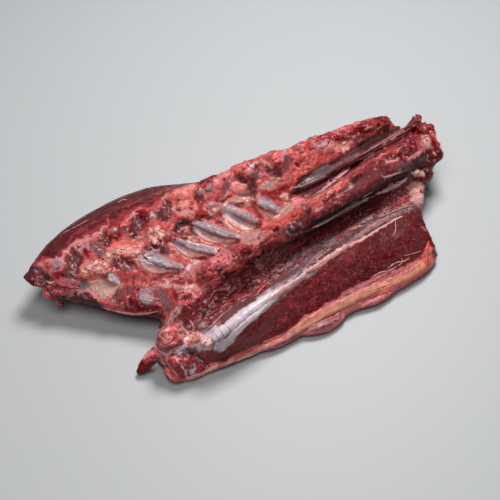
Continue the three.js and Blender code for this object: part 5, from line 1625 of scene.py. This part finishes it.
# Each film's upper and lower side, thickness in mm, tones, steps along it, raggedness and lumps.
FILM_SHEETS = [
    ([(218, 318), (232, 306), (246, 299), (257, 296)], [(222, 328), (234, 315), (248, 306), (259, 300)],
        0.6, [MAUVE, DULL, MAUVE], 36, 0.5),
    ([(310, 229), (328, 218), (345, 207), (358, 200), (370, 196)],
        [(310, 230), (329, 222), (347, 211), (360, 205), (371, 197)], 0.7, [MAUVE, BONE, CREAM], 44, 0.9),
    ([(374, 194), (386, 187), (397, 182), (408, 177)], [(375, 195), (388, 193), (400, 187), (408, 178)],
        0.8, [TAN, SHEEN, TAN], 36, 0.9),
    ([(284, 264), (294, 254), (306, 247), (320, 241)], [(286, 270), (297, 266), (309, 257), (322, 246)],
        0.8, [MAUVE, GREY, LILAC, MAUVE, DULL], 40, 0.9, 1.6),
    ([(338, 233), (350, 224), (362, 217), (376, 211)], [(339, 236), (353, 230), (366, 222), (377, 213)],
        0.6, [MAUVE, GREY, TAN], 36, 0.9, 1.2),
]
# Each strand's line, half width and half height in mm, and tones.
FILM_STRANDS = [
    ([(362, 197), (366, 194), (372, 191)], 0.6, 0.5, [TAN, BONE]),
    ([(382, 178), (394, 174), (406, 169)], 1.0, 0.6, [TAN, BONE]),
    ([(256, 297), (261, 290), (268, 284)], 1.3, 1.0, [RED, PINK]),
    ([(200, 333), (212, 327), (221, 317), (234, 307)], 0.7, 0.5, [MAUVE, ROSE]),
]
FILM_KNOT = ((202, 325), (5, 4, 3), [MAUVE, TAN], 20)
films = []
for sheet in FILM_SHEETS:
    laid(films, *sheet)
for line, width, height, tones in FILM_STRANDS:
    drawn(films, line, width, height, tones, rise=1.2, along=40, rough=0.8)
lump(films, *FILM_KNOT)
FILM_FINISH = finish("film", grain=600.0, height=0.25, dry=0.42, wet=0.2, coat=0.3, spread=0.15)
set_down(films, "gutter_films", FILM_FINISH)

# THE CUT END OF THE LOIN
# The left end shows the muscles cut across in round bundles with pale rings of fascia, a white
# ligament, a bluish film, a cream knuckle above and an orange rim of fat below.
RINGS = [
    ([(155, 346), (159, 338), (165, 331), (174, 330), (181, 335), (182, 344)], 0.6, 0.5, [PINK, ROSE]),
    ([(155, 346), (160, 352), (167, 354), (176, 351)], 0.8, 0.6, [ROSE, BONE]),
    ([(165, 333), (165, 342), (163, 351)], 0.4, 0.4, [PINK, TAN]),
    ([(160, 343), (163, 347), (168, 346)], 0.4, 0.4, [PINK, TAN]),
    ([(143, 352), (148, 344), (154, 337), (161, 331)], 1.0, 0.8, [CORAL, ROSE]),
    ([(174, 354), (180, 350), (187, 346)], 1.3, 0.7, [TAN, BONE, TAN]),
    ([(157, 356), (163, 363), (169, 371)], 0.6, 0.5, [PINK, ROSE]),
    ([(194, 358), (201, 364), (208, 370)], 0.6, 0.5, [PINK, ROSE]),
    ([(190, 382), (200, 377), (209, 373), (216, 369)], 1.4, 1.0, [SALMON, CREAM, PEACH]),
    ([(162, 369), (172, 377), (184, 384)], 0.8, 0.6, [CORAL, PINK]),
    ([(182, 326), (185, 332), (190, 337)], 0.5, 0.3, [PINK, ROSE]),
]
FLAP_FOLD = [(146, 361), (151, 356), (156, 349), (157, 341), (162, 333)]
FLAP_ROOT = [(144, 364), (149, 359), (156, 356), (161, 359)]
CLEFT = [(187, 352), (196, 355), (204, 361), (210, 367)]
CREAM_KNUCKLE = [
    ((196, 338), (6, 4, 2.0), [SALMON, PINK, PEACH], 20), ((204, 342), (4, 3, 1.6), [ROSE, BONE], 0),
]
CUT_CRUMBS = [
    ([(170, 328), (186, 334), (198, 340), (208, 350)], 3, 26, (1.0, 1.8),
        [[CORAL, PEACH], [PINK, BONE], [BLOOD, RED]]),
    ([(158, 340), (168, 346), (178, 358), (194, 368)], 7, 60, (1.0, 2.2),
        [[RED, FIBRE], [MAROON, RED], [PINK, MAUVE], [BLOOD, FIBRE]]),
]
CUT_FACE = [(158, 334), (176, 348), (196, 362)]
CUT_HAIRS = (CUT_FACE, 7, 24, 3, 40, [[PINK], [ROSE], [FIBRE]], 0.22, 0.5)
cut = []
for line, width, height, tones in RINGS:
    drawn(cut, line, width, height, tones, rise=0.3, along=36, ends=0.3, rough=0.6)
drawn(cut, FLAP_FOLD, 3.4, 2.4, [SALMON, PINK, CORAL], rise=0.4, along=60, around=16, rough=0.7)
drawn(cut, FLAP_ROOT, 3.0, 2.0, [CORAL, RED, PINK], rise=0.2, along=40, around=14, rough=0.7)
drawn(cut, CLEFT, 0.9, 0.3, [BLACK, MAROON], rise=0.3, along=36, rough=1.0)
for knob in CREAM_KNUCKLE:
    lump(cut, *knob)
for row in CUT_CRUMBS:
    scatter(cut, *row)
hairs(cut, *CUT_HAIRS)
set_down(cut, "loin_cut_end", MEAT)

# THE LOIN'S FASCIA
# Thin pale shreds of fascia are left on the dark face of the loin by the fat, with one long
# fibre hanging from the silver skin.
SHREDS = [
    ([(396, 216), (395, 224), (396, 231), (392, 237)], 0.4), ([(404, 256), (412, 254), (421, 251)], 0.4),
    ([(388, 268), (396, 262), (404, 262), (409, 258)], 0.6), ([(380, 272), (388, 272), (397, 266)], 0.5),
    ([(398, 266), (403, 262), (401, 258)], 0.4), ([(372, 278), (378, 273), (386, 271)], 0.5),
]
FASCIA_SHEET = (
    [(340, 293), (352, 287), (364, 281), (378, 274), (392, 268)],
    [(341, 296), (354, 292), (366, 286), (380, 279), (393, 270)], 0.6, [MAUVE, PINK, ROSE], 50, 1.0, 0.8,
)
LOIN_HAIRS = [
    ([(290, 300), (340, 268), (380, 244), (412, 228)], 9, 80, 3, 35, [[FIBRE], [MAUVE], [PINK]], 0.22, 0.3),
    ([(250, 338), (290, 312), (330, 290), (380, 262)], 8, 80, 3, 35, [[FIBRE], [MAUVE], [PINK]], 0.22, 0.3),
]
shreds = []
laid(shreds, *FASCIA_SHEET)
for line, width in SHREDS:
    drawn(shreds, line, width, 0.4, [PINK, CREAM, PINK], rise=0.4, along=30, around=8, ends=0.3, rough=0.9)
for row in LOIN_HAIRS:
    hairs(shreds, *row)
set_down(shreds, "loin_fascia", finish("loin_shreds", grain=700.0, height=0.2, dry=0.5, wet=0.3, spread=0.1))

# THE FAR EDGE
# Along the rim of the far muscle a white membrane shows in places, with a few torn fibres.
# It is what is left of the skin's own lining, and lies loosely on the muscle.
RIM_LINES = [
    ([(56, 231), (64, 225), (72, 221), (82, 215), (94, 209)], 1.0), ([(47, 245), (52, 239), (58, 232)], 0.5),
    ([(118, 203), (122, 200), (127, 200)], 0.6), ([(62, 234), (76, 227), (90, 219)], 0.4),
]
FAR_RIM = [(60, 240), (90, 222), (130, 206), (170, 192)]
FAR_HAIRS = (FAR_RIM, 4, 50, 8, 28, [[FIBRE], [MAUVE], [FAR]], 0.25, 0.2)
far = []
for line, width in RIM_LINES:
    drawn(far, line, width, 0.4, [PINK, BONE, PINK], rise=0.3, along=36, ends=0.3, rough=0.9)
hairs(far, *FAR_HAIRS)
set_down(far, "far_membrane", finish("rim_membrane", grain=600.0, height=0.2, dry=0.5, wet=0.3, spread=0.15))

# THE BENCH AND THE LIGHT
# A plain pale floor that runs out of sight, under a big soft lamp at the upper right, behind
# the piece, with a paler one in front that keeps the shadows open.
FLOOR_SIZE = 6.0
FLOOR_TONE = (0.46, 0.47, 0.48, 1)
FLOOR_ROUGH = 0.55
# Each lamp's place and width in metres, and its power in watts.
LAMPS = {"key": ((0.47, 0.38, 1.3), 0.6, 20.5), "fill": ((-0.5, -0.3, 1.5), 1.0, 10.0)}
ROOM_TONE = (0.9, 0.95, 1.0, 1)
ROOM_LIGHT = 0.08

bm = bmesh.new()
bmesh.ops.create_grid(bm, x_segments=2, y_segments=2, size=FLOOR_SIZE)
floor = put_in_scene("floor", solid_mesh(bm, "floor"))
floor_finish = bpy.data.materials.new("pale_floor")
floor_finish.use_nodes = True
floor_shader = floor_finish.node_tree.nodes["Principled BSDF"]
floor_shader.inputs["Base Color"].default_value = FLOOR_TONE
floor_shader.inputs["Roughness"].default_value = FLOOR_ROUGH
floor.data.materials.append(floor_finish)

for name, (place, width, power) in LAMPS.items():
    light = bpy.data.lights.new(name, "AREA")
    light.shape = "DISK"
    light.size = width
    light.energy = power
    look_from(name, light, place)

world = bpy.data.worlds.new("room")
world.use_nodes = True
world.node_tree.nodes["Background"].inputs["Color"].default_value = ROOM_TONE
world.node_tree.nodes["Background"].inputs["Strength"].default_value = ROOM_LIGHT
bpy.context.scene.world = world
bpy.context.scene.view_settings.view_transform = "Standard"
